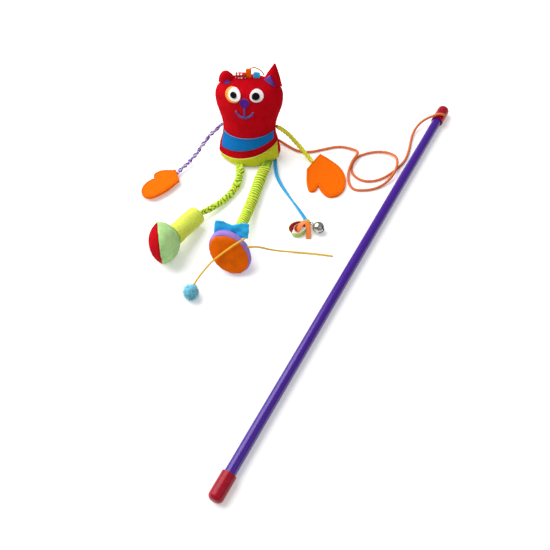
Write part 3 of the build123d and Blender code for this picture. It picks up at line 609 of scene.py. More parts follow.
def satin(name, outer, inner, edge):
    """Ribbon: cross ribs with painted shade between them, a satin gloss, another colour on its inner side
    and pale woven edges.
    """
    s = Shader(name)
    across, run = s.along()
    rib = (run * (math.tau / 0.55)).sine() * 0.5 + 0.5
    s.bump(rib, 0.06, 0.6)
    side = s.marked("inner_side")
    tone = s.mix(side.between(0.4, 0.6), outer, inner)
    # Painted shade between the cross ribs.
    tone = s.mix((1 - rib) * 0.22, tone, shade(inner, 0.4))
    tone = s.mix((across - 0.5).size().between(0.41, 0.46) * 0.8, tone, edge)
    return s.finish(Base_Color=tone, Roughness=0.45, Sheen_Weight=0.08)


def spotted(name, base, spot):
    """Ribbon with rows of pale spots."""
    s = Shader(name)
    base = shade(base, 0.85)
    dots = s.node(
        "ShaderNodeTexVoronoi", {"feature": "F1"}, Vector=s.place(), Scale=1 / (3.3 * MM), Randomness=0.3
    )
    tone = s.mix(dots.between(0.26, 0.32), spot, base)
    s.bump(s.grain(0.4), 0.08, 0.5)
    return s.finish(Base_Color=tone, Roughness=0.6, Specular_IOR_Level=0.25)


def wool(name, base):
    """Cut yarn, with painted shade between the strands: deeper, bluer patches laid by noise."""
    s = Shader(name)
    strand = s.grain(1.7, detail=3.0)
    # Painted shade between the strands, in patches laid by noise.
    strand_shade = (base[0] * 0.42, base[1] * 0.64, base[2] * 0.85)
    tone = s.mix(strand.between(0.42, 0.58), strand_shade, base)
    glow = {"Subsurface_Weight": 0.5, "Subsurface_Scale": 0.5 * MM}
    return s.finish(Base_Color=tone, Roughness=0.95, Specular_IOR_Level=0.1, **glow)


def polished(name, base):
    """Thin plated metal with fine rubbing marks."""
    s = Shader(name)
    rubbed = s.grain(0.9, detail=5.0)
    s.bump(s.grain(2.5), 0.05, 0.3)
    tone = s.mix(rubbed.between(0.4, 0.75), base, shade(base, 0.82))
    return s.finish(Base_Color=tone, Metallic=1.0, Roughness=rubbed * 0.16 + 0.07)


# Meshes


def placed(name, data):
    """An object with that data, in the scene."""
    item = bpy.data.objects.new(name, data)
    bpy.context.scene.collection.objects.link(item)
    return item


def meshed(name, build):
    """A mesh from a bmesh, which is freed."""
    mesh = bpy.data.meshes.new(name)
    build.to_mesh(mesh)
    build.free()
    return mesh


def made(name, build, material, body, slot, replaced=()):
    """A finished piece from a bmesh: smooth faces, its material, its body and what it stands for."""
    return dressed(placed(name, meshed(name, build)), material, body, slot, replaced)


def dressed(piece, material, body, slot, replaced=()):
    """A piece with its material, its body and the CAD nodes that it stands for."""
    piece.data.materials.clear()
    piece.data.materials.append(material)
    piece.data.polygons.foreach_set("use_smooth", [True] * len(piece.data.polygons))
    for vertex in piece.data.vertices:
        vertex.co.z = max(vertex.co.z, FLOOR_GAP * MM)
    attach(piece, body)
    if replaced:
        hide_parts(*replaced)
    return piece


def plain(piece):
    """The piece with its modifiers made part of its mesh."""
    graph = bpy.context.evaluated_depsgraph_get()
    mesh = bpy.data.meshes.new_from_object(piece.evaluated_get(graph))
    piece.modifiers.clear()
    piece.data = mesh
    return piece


def merged(name, nodes):
    """An object with copies of the nodes' meshes, their doubles merged."""
    build = bmesh.new()
    for node in nodes:
        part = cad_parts[node]
        copy = part.data.copy()
        copy.transform(part.matrix_world)
        build.from_mesh(copy)
        bpy.data.meshes.remove(copy)
    bmesh.ops.remove_doubles(build, verts=build.verts, dist=0.001 * MM)
    return placed(name, meshed(name, build))


def rounded(name, nodes, voxel, passes):
    """Cloth form of CAD solids: one skin over them, its edges rounded by that many passes."""
    piece = merged(name, nodes)
    skin = piece.modifiers.new("skin", "REMESH")
    skin.mode = "VOXEL"
    skin.voxel_size = voxel * MM
    ease = piece.modifiers.new("ease", "SMOOTH")
    ease.factor = 0.5
    ease.iterations = passes
    return outer_shell(plain(piece))


def outer_shell(piece):
    """The piece with only its largest shell."""
    build = bmesh.new()
    build.from_mesh(piece.data)
    left = set(build.verts)
    shells = []
    while left:
        shell = {left.pop()}
        front = list(shell)
        while front:
            vert = front.pop()
            for link in vert.link_edges:
                other = link.other_vert(vert)
                if other in left:
                    left.discard(other)
                    shell.add(other)
                    front.append(other)
        shells.append(shell)
    keep = max(shells, key=len)
    bmesh.ops.delete(build, geom=[v for v in build.verts if v not in keep], context="VERTS")
    build.to_mesh(piece.data)
    build.free()
    return piece


def waved(piece, size, depth, seed):
    """The piece pushed in and out along its normals by smooth noise."""
    offset = Vector((seed * 1.7, seed * 3.1, seed * 0.9))
    normals = [v.normal.copy() for v in piece.data.vertices]
    for vertex, normal in zip(piece.data.vertices, normals):
        vertex.co += normal * noise.noise(vertex.co / (size * MM) + offset) * depth * MM
    return piece


def cut_edges(piece, ground):
    """Marks the vertices on a patch's cut edge: those whose normal leaves that of the ground below."""
    tree = BVHTree.FromObject(ground, bpy.context.evaluated_depsgraph_get())
    mark = piece.data.attributes.new("cut_edge", "FLOAT", "POINT")
    for vertex in piece.data.vertices:
        normal = tree.find_nearest(vertex.co)[1]
        mark.data[vertex.index].value = max(0.0, min(1.0, 1.6 * (0.75 - vertex.normal.dot(normal))))
    return piece


def stuffed(piece, pressure, cap, held, hold):
    """Swells cloth by pressure: no point moves past the cap, and points near held nodes stay."""
    start = [v.co.copy() for v in piece.data.vertices]
    normals = [v.normal.copy() for v in piece.data.vertices]
    tree = BVHTree.FromPolygons(*joined_faces(held))
    free = [max(0.0, min(1.0, tree.find_nearest(place)[3] / (hold * MM))) for place in start]
    for vertex, normal, share in zip(piece.data.vertices, normals, free):
        vertex.co = (vertex.co - normal * cap * 0.2 * share * MM) * SIM_SCALE
    group = piece.vertex_groups.new(name="held")
    for index, share in enumerate(free):
        group.add([index], 1.0 - share, "REPLACE")
    cloth = piece.modifiers.new("stuffing", "CLOTH")
    for key, setting in CLOTH.items():
        setattr(cloth.settings, key, setting)
    cloth.settings.uniform_pressure_force = pressure
    cloth.settings.effector_weights.gravity = 0.0
    cloth.point_cache.frame_start = 1
    cloth.point_cache.frame_end = SIM_FRAMES
    for step in range(1, SIM_FRAMES + 1):
        bpy.context.scene.frame_set(step)
    plain(piece)
    bpy.context.scene.frame_set(1)
    for vertex, place, share in zip(piece.data.vertices, start, free):
        moved = vertex.co / SIM_SCALE - place
        limit = cap * MM * share
        if moved.length > limit:
            moved = moved * (limit / moved.length)
        vertex.co = place + moved
    piece.vertex_groups.clear()
    return piece


def joined_faces(nodes):
    """Vertices and faces of several nodes' meshes together."""
    places, faces = [], []
    for node in nodes:
        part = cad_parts[node]
        base = len(places)
        places += [part.matrix_world @ v.co for v in part.data.vertices]
        faces += [[base + index for index in face.vertices] for face in part.data.polygons]
    return places, faces


def finer(piece, levels):
    """The piece with that many subdivisions."""
    subdivision = piece.modifiers.new("finer", "SUBSURF")
    subdivision.levels = levels
    subdivision.render_levels = levels
    return plain(piece)


# Cords


def spline_line(route, count):
    """Evenly spaced points on the smooth spline through a route's frame, in metres."""
    curve = bpy.data.curves.new("route", "CURVE")
    curve.dimensions = "3D"
    spline = curve.splines.new("NURBS")
    spline.points.add(len(route) - 1)
    for point, place in zip(spline.points, route):
        point.co = (*(Vector(place) * MM), 1.0)
    spline.order_u = 3
    spline.use_endpoint_u = True
    spline.resolution_u = 24
    holder = placed("route", curve)
    graph = bpy.context.evaluated_depsgraph_get()
    mesh = bpy.data.meshes.new_from_object(holder.evaluated_get(graph))
    places = [v.co.copy() for v in mesh.vertices]
    bpy.data.objects.remove(holder)
    bpy.data.curves.remove(curve)
    bpy.data.meshes.remove(mesh)
    return even(places, count)


def even(places, count):
    """Points at even distances along a line of points."""
    reach = [0.0]
    for first, second in zip(places, places[1:]):
        reach.append(reach[-1] + (second - first).length)
    result = []
    step = 0
    for index in range(count):
        goal = reach[-1] * index / (count - 1)
        while step < len(places) - 2 and reach[step + 1] < goal:
            step += 1
        span = reach[step + 1] - reach[step]
        share = (goal - reach[step]) / span if span else 0.0
        result.append(places[step].lerp(places[step + 1], min(1.0, share)))
    return result


def line_length(line):
    """Length of a line of points."""
    return sum((second - first).length for first, second in zip(line, line[1:]))


def line_frames(line):
    """A pair of axes square to the line at each point, carried along without twist."""
    axes = []
    side = None
    for index in range(len(line)):
        ahead = line[min(index + 1, len(line) - 1)] - line[max(index - 1, 0)]
        ahead.normalize()
        if side is None:
            side = UP.cross(ahead) if abs(ahead.z) < 0.95 else Vector((1.0, 0.0, 0.0))
        side = (side - ahead * side.dot(ahead)).normalized()
        axes.append((side.copy(), ahead.cross(side)))
    return axes


def add_tube(build, line, radius, sides, spin=None, ridge=None):
    """A closed tube round a line: radius(share, angle) in metres, spin(share) turns the section."""
    layer = build.loops.layers.uv.get("route") or build.loops.layers.uv.new("route")
    height = build.verts.layers.float.get("ridge") or build.verts.layers.float.new("ridge")
    axes = line_frames(line)
    whole = line_length(line) / MM
    rings = []
    for index, place in enumerate(line):
        share = index / (len(line) - 1)
        side, over = axes[index]
        turn = spin(share) if spin else 0.0
        ring = []
        for step in range(sides):
            angle = math.tau * step / sides
            reach = radius(share, angle)
            out = side * math.cos(angle + turn) + over * math.sin(angle + turn)
            ring.append(build.verts.new(place + out * reach))
            ring[-1][height] = ridge(share, angle) if ridge else 1.0
        rings.append(ring)
    for index, (first, second) in enumerate(zip(rings, rings[1:])):
        run = [whole * (index + step) / (len(line) - 1) for step in (0, 1)]
        for step in range(sides):
            after = (step + 1) % sides
            face = build.faces.new((first[step], first[after], second[after], second[step]))
            marks = ((step, run[0]), (step + 1, run[0]), (step + 1, run[1]), (step, run[1]))
            for loop, (turn, reach) in zip(face.loops, marks):
                loop[layer].uv = (turn / sides, reach)
    for ring in (list(reversed(rings[0])), rings[-1]):
        build.faces.new(ring)


def round_tube(width):
    """Radius of a plain round cord whose ends are eased in."""

    def radius(share, angle):
        end = min(share, 1 - share)
        return width / 2 * (0.75 + 0.25 * min(1.0, end * 60))

    return radius


def strand_line(line, reach, turns, phase):
    """A strand wound round a line at that reach."""
    axes = line_frames(line)
    result = []
    for index, place in enumerate(line):
        angle = math.tau * turns * index / (len(line) - 1) + phase
        side, over = axes[index]
        result.append(place + (side * math.cos(angle) + over * math.sin(angle)) * reach)
    return result


def reached(line, before, after):
    """The line carried straight on past both its ends, by lengths in millimetres."""
    start = (line[0] - line[1]).normalized() * before * MM
    end = (line[-1] - line[-2]).normalized() * after * MM
    return [line[0] + start, line[0] + start / 2] + line + [line[-1] + end / 2, line[-1] + end]


def declare_cord(piece, route, line, length_m, width, far_end, with_pieces=()):
    """Works out a cord's first point in metres, its line as lists and its pieces as a list, and keeps none
    of them.
    """
    Vector(route[0]) * MM
    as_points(line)
    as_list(with_pieces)


def closed_normals(build):
    """The build with its faces pointing outwards."""
    bmesh.ops.recalc_face_normals(build, faces=build.faces)
    return build


# Geometry Nodes


class Tree:
    """A geometry node tree under construction."""

    def __init__(self, name):
        self.tree = bpy.data.node_groups.new(name, "GeometryNodeTree")
        self.tree.interface.new_socket("Geometry", in_out="OUTPUT", socket_type="NodeSocketGeometry")
        self.inlet = self.tree.nodes.new("NodeGroupInput")
        self.outlet = self.tree.nodes.new("NodeGroupOutput")

    def given(self, name, kind):
        """A named input of the tree."""
        self.tree.interface.new_socket(name, in_out="INPUT", socket_type="NodeSocket" + kind)
        return self.inlet.outputs[name]

    def node(self, kind, settings=None, output=0, **named):
        """A node with its settings made first, then its sockets by name; gives one output."""
        built = self.tree.nodes.new(kind)
        for key, setting in (settings or {}).items():
            setattr(built, key, setting)
        for key, value in named.items():
            names = {key, key.replace("_", " ")}
            socket = next(s for s in built.inputs if {s.name, s.identifier} & names and s.enabled)
            if isinstance(value, bpy.types.NodeSocket):
                self.tree.links.new(value, socket)
            else:
                socket.default_value = value
        return next(s for s in built.outputs if s.enabled) if output == 0 else built.outputs[output]

    def end(self, geometry, material):
        """Realized instances with their material, given out."""
        real = self.node("GeometryNodeRealizeInstances", Geometry=geometry)
        done = self.node("GeometryNodeSetMaterial", Geometry=real, Material=material)
        self.tree.links.new(done, self.outlet.inputs[0])
        return self.tree


def fibre_tree():
    """Fibres standing on a surface, leaning at random."""
    t = Tree("fibres")
    surface = t.given("Surface", "Geometry")
    density = t.given("Density", "Float")
    size = t.given("Length", "Float")
    width = t.given("Width", "Float")
    lean = t.given("Lean", "Vector")
    back = t.given("Lean Back", "Vector")
    lowest = t.given("Lowest", "Float")
    seed = t.given("Seed", "Int")
    material = t.given("Material", "Material")
    scatter = {"distribute_method": "RANDOM"}
    points = t.node(
        "GeometryNodeDistributePointsOnFaces", scatter, Mesh=surface, Density=density, Seed=seed
    )
    normal = points.node.outputs["Rotation"]
    height = t.node("ShaderNodeSeparateXYZ", output=2, Vector=t.node("GeometryNodeInputPosition"))
    low = t.node("ShaderNodeMath", {"operation": "LESS_THAN"}, Value=height, Value_001=lowest)
    points = t.node("GeometryNodeDeleteGeometry", {"domain": "POINT"}, Geometry=points, Selection=low)
    tilt = t.node("FunctionNodeRandomValue", {"data_type": "FLOAT_VECTOR"}, Min=back, Max=lean, Seed=seed)
    turned = t.node(
        "FunctionNodeRotateRotation",
        {"rotation_space": "LOCAL"},
        Rotation=normal,
        Rotate_By=t.node("FunctionNodeEulerToRotation", Euler=tilt),
    )
    scale = t.node("FunctionNodeRandomValue", {"data_type": "FLOAT"}, Min=0.55, Max=1.1, Seed=seed)
    fibre = t.node(
        "GeometryNodeMeshCone",
        {"fill_type": "NONE"},
        Vertices=3,
        Radius_Top=0.0,
        Radius_Bottom=width,
        Depth=size,
    )
    standing = t.node(
        "GeometryNodeInstanceOnPoints", Points=points, Instance=fibre, Rotation=turned, Scale=scale
    )
    return t.end(standing, material)


def stitch_tree():
    """Stitches at even steps along a line."""
    t = Tree("stitches")
    line = t.given("Line", "Geometry")
    step = t.given("Step", "Float")
    size = t.given("Length", "Float")
    width = t.given("Width", "Float")
    material = t.given("Material", "Material")
    curve = t.node("GeometryNodeMeshToCurve", Mesh=line)
    points = t.node("GeometryNodeCurveToPoints", {"mode": "LENGTH"}, Curve=curve, Length=step)
    turn = points.node.outputs["Rotation"]
    ends = {"fill_type": "TRIANGLE_FAN"}
    stitch = t.node(
        "GeometryNodeMeshCylinder", ends, Vertices=6, Side_Segments=3, Radius=width, Depth=size
    )
    laid = t.node("GeometryNodeInstanceOnPoints", Points=points, Instance=stitch, Rotation=turn)
    return t.end(laid, material)


def grown(name, source, tree, values, material, body, slot):
    """The mesh that a tree makes from a source mesh, as a piece of its own."""
    piece = placed(name, source)
    maker = piece.modifiers.new(name, "NODES")
    maker.node_group = tree
    for item in tree.interface.items_tree:
        if item.in_out == "INPUT" and item.name in values:
            maker[item.identifier] = values[item.name]
        if item.in_out == "INPUT" and item.name == "Material":
            maker[item.identifier] = material
    return dressed(plain(piece), material, body, slot)


def rim_loops(node, facing, inset):
    """Closed lines in metres inside the rim of a felt sheet's outer face, which faces about that way."""
    sheet = merged("rim", (node,))
    build = bmesh.new()
    build.from_mesh(sheet.data)
    bpy.data.objects.remove(sheet)
    inward, links = {}, {}
    for edge in build.edges:
        if len(edge.link_faces) != 2 or edge.calc_face_angle() < math.radians(50):
            continue
        face = max(edge.link_faces, key=lambda f: f.normal.dot(facing))
        if face.normal.dot(facing) < 0.3:
            continue
        first, second = edge.verts
        along = (second.co - first.co).normalized()
        aside = face.calc_center_median() - first.co
        aside = (aside - along * aside.dot(along)).normalized()
        for vert, other in ((first, second), (second, first)):
            inward[vert] = inward.get(vert, Vector()) + aside
            links.setdefault(vert, []).append(other)
    loops = []
    while links:
        vert = next(iter(links))
        line = []
        while vert:
            line.append(vert.co + inward[vert].normalized() * inset * MM)
            onward = [other for other in links.pop(vert) if other in links]
            vert = onward[0] if onward else None
        if len(line) > 8:
            loops.append(line + line[:1])
    build.free()
    return loops


def stitched(piece, node, facing, inset, tree, material, body, slot):
    """A row of stitches inside a felt sheet's rim, laid on its finished surface."""
    surface = BVHTree.FromObject(piece, bpy.context.evaluated_depsgraph_get())
    build = bmesh.new()
    for loop in rim_loops(node, facing, inset):
        count = max(12, round(line_length(loop) / (0.7 * MM)))
        verts = []
        for place in even(loop, count):
            spot, normal = surface.find_nearest(place)[:2]
            verts.append(build.verts.new(spot + normal * 0.1 * MM))
        for first, second in zip(verts, verts[1:]):
            build.edges.new((first, second))
    line = meshed(node + "_line", build)
    values = {"Step": STITCH_STEP * MM, "Length": STITCH_LENGTH * MM, "Width": STITCH_WIDTH * MM}
    return grown(node + "_stitches", line, tree, values, material, body, slot)


def fibres_on(name, source, density, size, width, lean, lowest, seed, material, body, slot):
    """Fibres that stand on a piece and lean at random, none of them rooted under the lowest height."""
    values = {
        "Density": density,
        "Length": size,
        "Width": width * MM,
        "Lean": (lean, lean, math.pi),
        "Lean Back": (-lean, -lean, -math.pi),
        "Lowest": lowest,
        "Seed": seed,
    }
    tree = bpy.data.node_groups["fibres"]
    return grown(name, source.data.copy(), tree, values, material, body, slot)


def pile(piece, per_square_mm, size, seed, material, body, slot):
    """Short fibres over a piece of plush."""
    density = per_square_mm / MM**2
    dress = (seed, material, body, slot)
    fibres_on(piece.name + "_pile", piece, density, size, PILE_WIDTH, PILE_LEAN, 1.3 * size, *dress)


# Operators


class Dressing(bpy.types.Operator):
    """Base of the operators that dress the frame."""

    bl_options = {"REGISTER", "UNDO"}

    def execute(self, context):
        """Makes the pieces."""
        self.make(colours(), sizes())
        return {"FINISHED"}


class WAND_OT_stage(Dressing):
    """Floor, light and the camera at the photograph's angle"""

    bl_idname = "wand.stage"
    bl_label = "Stage"

    def make(self, c, z):
        """Makes the pale floor, two soft lamps, the world and the camera."""
        build = bmesh.new()
        bmesh.ops.create_grid(build, x_segments=1, y_segments=1, size=FLOOR_REACH)
        bmesh.ops.translate(build, verts=build.verts, vec=(0, 0, -FLOOR_DROP))
        floor = placed("floor", meshed("floor", build))
        s = Shader("pale_floor")
        seen = s.node("ShaderNodeLightPath", output="Is Camera Ray")
        mirrored = s.node("ShaderNodeLightPath", output="Is Glossy Ray")
        through = s.node("ShaderNodeLightPath", output="Is Transmission Ray")
        glow = s.mix(seen + mirrored + through, (0.0, 0.0, 0.0), (1.0, 1.0, 1.0))
        pale = {"Base_Color": tuple(c.floor), "Roughness": 0.9, "Specular_IOR_Level": 0.1}
        floor.data.materials.append(s.finish(**pale, Emission_Color=glow, Emission_Strength=FLOOR_GLOW))
        floor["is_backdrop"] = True
        for name, lamp in LAMPS.items():
            self.lamp(name, *lamp)
        world = bpy.data.worlds.new("studio")
        bpy.context.scene.world = world
        world.use_nodes = True
        sky = world.node_tree.nodes["Background"]
        sky.inputs["Color"].default_value = (1.0, 1.0, 1.0, 1.0)
        sky.inputs["Strength"].default_value = WORLD_LIGHT
        bpy.context.scene.view_settings.view_transform = "Standard"
        self.camera(z)

    def lamp(self, name, place, size, power):
        """A square soft lamp that faces the object."""
        light = bpy.data.lights.new(name, "AREA")
        light.size = size
        light.energy = power
        lamp = placed(name, light)
        lamp.location = place
        lamp.rotation_euler = (LAMP_AIM - lamp.location).to_track_quat("-Z", "Y").to_euler()

    def camera(self, z):
        """The camera at the photograph's elevation and distance."""
        view = bpy.data.cameras.new("camera")
        view.lens = z.lens
        view.sensor_width = SENSOR
        camera = placed("camera", view)
        back = Vector((0.0, -math.cos(z.elevation), math.sin(z.elevation)))
        camera.location = CAMERA_AIM + back * z.distance
        camera.rotation_euler = (-back).to_track_quat("-Z", "Y").to_euler()
        bpy.context.scene.camera = camera


class WAND_OT_rod(Dressing):
    """Plastic rod and its two vinyl caps"""

    bl_idname = "wand.rod"
    bl_label = "Rod and caps"

    def make(self, c, z):
        """Gives the rod and the caps their finishes."""
        cad_finish("rod_tube", plastic("violet_plastic", tuple(c.rod)))
        cap = vinyl("crimson_vinyl", tuple(c.cap))
        for node in ("handle_cap", "tip_cap"):
            cad_finish(node, cap)


def cad_finish(node, material):
    """A CAD node with a material of its own."""
    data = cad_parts[node].data
    data.materials.clear()
    data.materials.append(material)


class WAND_OT_tether(Dressing):
    """Elastic tether from the rod to the plush"""

    bl_idname = "wand.tether"
    bl_label = "Tether"

    def make(self, c, z):
        """Makes the tether's tube along its route, and the knot at its end."""
        elastic = braid("terracotta_elastic", tuple(c.tether), 2.4)
        line = spline_line(TETHER_LEAD + TETHER_ROUTE, 620)
        build = bmesh.new()
        add_tube(build, line, round_tube(z.tether_width), 14)
        nodes = ("tether_lead", "tether_cord")
        cord = made("tether", closed_normals(build), elastic, "wand", "terracotta_elastic", nodes)
        declare_cord(cord, TETHER_LEAD[2:], line, 0.43, z.tether_width, "object")
        centre = Vector(TETHER_ROUTE[-1]) * MM
        knot = []
        for step in range(KNOT_STEPS + 1):
            t = math.tau * step / KNOT_STEPS
            reach = 2 + math.cos(3 * t)
            place = Vector((reach * math.cos(2 * t), reach * math.sin(2 * t), math.sin(3 * t)))
            knot.append(centre + place * KNOT_SIZE * MM)
        build = bmesh.new()
        add_tube(build, knot, lambda share, angle: KNOT_STRAND * MM, 10)
        nodes = ("tether_end_knot",)
        made("tether_knot", closed_normals(build), elastic, "wand", "terracotta_elastic", nodes)


# Patches on the body, with the slot and the colour of each

PATCHES = {
    "ear_patch_right": ("purple_felt", "purple"),
    "ear_patch_left": ("purple_felt", "purple"),
    "eye_patch_left": ("yellow_felt", "yellow"),
    "eye_white_left": ("white_felt", "white"),
    "pupil_left": ("black_felt", "black"),
    "eye_white_right": ("white_felt", "white"),
    "pupil_right": ("black_felt", "black"),
    "nose": ("purple_felt", "purple"),
    "mouth_stitch": ("blue_thread", "mouth"),
    "blue_stripe": ("blue_felt", "stripe"),
    "lime_band": ("lime_felt", "band"),
}

# Patches with a row of stitches, and how dark its thread is against the felt

SEWN = {"blue_stripe": 0.55, "lime_band": 0.6, "eye_patch_left": 0.6, "nose": 0.5}


class WAND_OT_body(Dressing):
    """Stuffed velour body, ears and tab"""

    bl_idname = "wand.body"
    bl_label = "Plush body"

    def make(self, c, z):
        """Swells the body between its patches and covers it with pile."""
        cloth = velour("red_velour", tuple(c.velour))
        fibre_tree()
        nodes = ("front_panel", "back_panel", "stuffing")
        body = rounded("plush_body", nodes, 1.6, 1)
        stuffed(body, 4.0, 1.0, list(PATCHES), 6.0)
        finer(body, 1)
        waved(body, 11.0, 0.35, 3)
        dressed(body, cloth, "plush", "red_velour", nodes)
        pile(body, BODY_PILE, z.pile, 5, cloth, "plush", "red_velour")
        for name, voxel in (("ear_right", 0.6), ("ear_left", 0.6), ("tether_tab", 0.4)):
            piece = rounded(name + "_cloth", (name,), voxel, 2)
            dressed(waved(piece, 5.0, 0.3, 4), cloth, "plush", "red_velour", (name,))
            if name != "tether_tab":
                pile(piece, BODY_PILE, z.pile, 6, cloth, "plush", "red_velour")


class WAND_OT_face(Dressing):
    """Felt face, stripe and band"""

    bl_idname = "wand.face"
    bl_label = "Face and bands"

    def make(self, c, z):
        """Rounds each felt patch and marks its cut edge."""
        ground = bpy.data.objects["plush_body"]
        stitches = stitch_tree()
        materials = {}
        for node, (slot, tone) in PATCHES.items():
            if slot not in materials:
                materials[slot] = felt(slot, tuple(getattr(c, tone)))
            piece = rounded(node + "_felt", (node,), 0.3, 3)
            cut_edges(piece, ground)
            dressed(piece, materials[slot], "plush", slot, (node,))
            if node in SEWN:
                thread = twist(node + "_thread", shade(tuple(getattr(c, tone)), SEWN[node]))
                stitched(piece, node, FACE_FRONT, 1.0, stitches, thread, "plush", slot)


class WAND_OT_crown(Dressing):
    """Ribbon, tabs and thread on the head"""

    bl_idname = "wand.crown"
    bl_label = "Head trim"

    def make(self, c, z):
        """Rounds the ribbon and the tabs, and winds the thread loop."""
        ribbon = spotted("spotted_ribbon", tuple(c.ribbon_red), SPOT_TONE)
        piece = rounded("head_ribbon", ("ribbon_loop_top",), 0.3, 2)
        dressed(piece, ribbon, "plush", "spotted_ribbon", ("ribbon_loop_top",))
        orange = felt("orange_tab_felt", tuple(c.orange))
        sky = felt("sky_tab_felt", shade(tuple(c.sky), 1.4))
        for node, slot, material in (
            ("top_tab_orange", "orange_felt", orange),
            ("top_tab_blue", "sky_felt", sky),
        ):
            dressed(rounded(node + "_felt", (node,), 0.3, 3), material, "plush", slot, (node,))
        line = spline_line(THREAD_ROUTE, 80)
        build = bmesh.new()
        for phase in (0.0, math.pi):
            ply = strand_line(line, z.thread_width * 0.24, 9, phase)
            add_tube(build, ply, lambda share, angle: z.thread_width * 0.28, 8)
        thread = twist("brown_thread", tuple(c.thread))
        made("thread_loop_plied", closed_normals(build), thread, "plush", "brown_thread", ("thread_loop",))


class WAND_OT_arms(Dressing):
    """Cord arms and felt mittens"""

    bl_idname = "wand.arms"
    bl_label = "Arms and mittens"

    def make(self, c, z):
        """Twists each arm along its route and rounds the two layers of each mitten."""
        self.left_arm(c, z)
        self.right_arm(c, z)
        orange = felt("orange_felt", tuple(c.orange))
        thread = twist("mitten_thread", shade(tuple(c.orange), 0.6))
        stitches = bpy.data.node_groups["stitches"]
        for side, seed in (("left", 2), ("right", 7)):
            for layer in ("front", "back"):
                node = f"mitten_{side}_{layer}"
                piece = waved(rounded(node + "_felt", (node,), 0.4, 3), 9.0, 0.3, seed)
                dressed(piece, orange, f"mitten_{side}", "orange_felt", (node,))
                if layer == "front":
                    stitched(piece, node, UP, 1.8, stitches, thread, f"mitten_{side}", "orange_felt")

    def left_arm(self, c, z):
        """Flat purple ribbon twisted on itself, with a silvery strand round it."""
        line = spline_line(ARM_LEFT_ROUTE, 260)
        width = z.arm_left_width
        build = bmesh.new()

        def ribbon(share, angle):
            wide = width * 0.5
            thin = width * 0.2
            return wide * thin / math.hypot(thin * math.cos(angle), wide * math.sin(angle))

        longer = reached(line, TUCK, TUCK)
        add_tube(build, longer, ribbon, 18, lambda share: math.tau * 4.5 * share)
        # The purple cord carries the glint colour in patches as painted highlights.
        purple = twist("purple_cord", tuple(c.arm_left), tuple(c.glint))
        nodes = ("arm_left_cord",)
        arm = made("arm_left_twist", closed_normals(build), purple, "arm_left", "purple_cord", nodes)
        declare_cord(arm, ARM_LEFT_ROUTE, line, 0.062, width, "object")
        build = bmesh.new()
        add_tube(build, strand_line(longer, width * 0.3, 4.5, 1.6), lambda share, angle: width * 0.16, 8)
        silvery = twist("silvery_strand", tuple(c.glint))
        made("arm_left_glint", closed_normals(build), silvery, "arm_left", "purple_cord")

    def right_arm(self, c, z):
        """Two yellow plies laid round each other."""
        line = spline_line(ARM_RIGHT_ROUTE, 220)
        width = z.arm_right_width
        build = bmesh.new()
        longer = reached(line, TUCK, TUCK)
        for phase in (0.0, math.pi):
            ply = strand_line(longer, width * 0.21, 6, phase)
            add_tube(build, ply, lambda share, angle: width * 0.35, 12)
        yellow = twist("yellow_cord", tuple(c.arm_right))
        nodes = ("arm_right_cord",)
        arm = made("arm_right_twist", closed_normals(build), yellow, "arm_right", "yellow_cord", nodes)
        declare_cord(arm, ARM_RIGHT_ROUTE, line, 0.048, width, "object")


class WAND_OT_legs(Dressing):
    """Gathered legs"""

    bl_idname = "wand.legs"
    bl_label = "Legs"

    def make(self, c, z):
        """Gathers the cloth of each leg into ribs along its route."""
        lime, green, yellow = tuple(c.leg_lime), tuple(c.leg_green), tuple(c.leg_yellow)
        widths = (z.leg_left_top, z.leg_left_end)
        self.leg("left", LEG_LEFT_ROUTE, widths, (lime, green, yellow, 0.1), **LEG_GATHERS["left"])
        widths = (z.leg_right_top, z.leg_right_end)
        tones = (shade(lime, 1.1), green, yellow, 0.3)
        self.leg("right", LEG_RIGHT_ROUTE, widths, tones, **LEG_GATHERS["right"])

    def leg(self, side, route, widths, tones, ribs, slant, depth, uneven, wander):
        """One leg: ribs that wander a little, pressed flat at the body's seam and tucked into the foot."""
        line = reached(spline_line(route, 430), LEG_ROOT, TUCK)
        light, dark, accent, accents = tones
        slot = {"left": "green_gather", "right": "lime_gather"}[side]
        material = gather(slot, light, dark, accent, ribs / (line_length(line) / MM), accents)
        top, end = widths

        def drift(share, angle):
            return noise.noise((share * ribs * 0.45, math.cos(angle), math.sin(angle)))

        def ridge(share, angle):
            turn = ribs * share + slant * angle / math.tau + wander * drift(share, angle)
            return abs(math.sin(math.pi * turn))

        def radius(share, angle):
            size = (top + (end - top) * share) / 2
            ease = min(1.0, 0.55 + (1 - share) * 40)
            flat = 0.4 + 0.6 * min(1.0, share / 0.13)
            seam = 1 / math.hypot(math.cos(angle), math.sin(angle) / flat)
            fold = depth * (1 - ridge(share, angle)) ** 1.2
            return size * ease * seam * (1 - fold + uneven * drift(share, angle))

        build = bmesh.new()
        add_tube(build, line, radius, 36, ridge=ridge)
        nodes = (f"leg_{side}_sleeve", f"leg_{side}_core")
        made(f"leg_{side}_gathered", closed_normals(build), material, f"leg_{side}", slot, nodes)


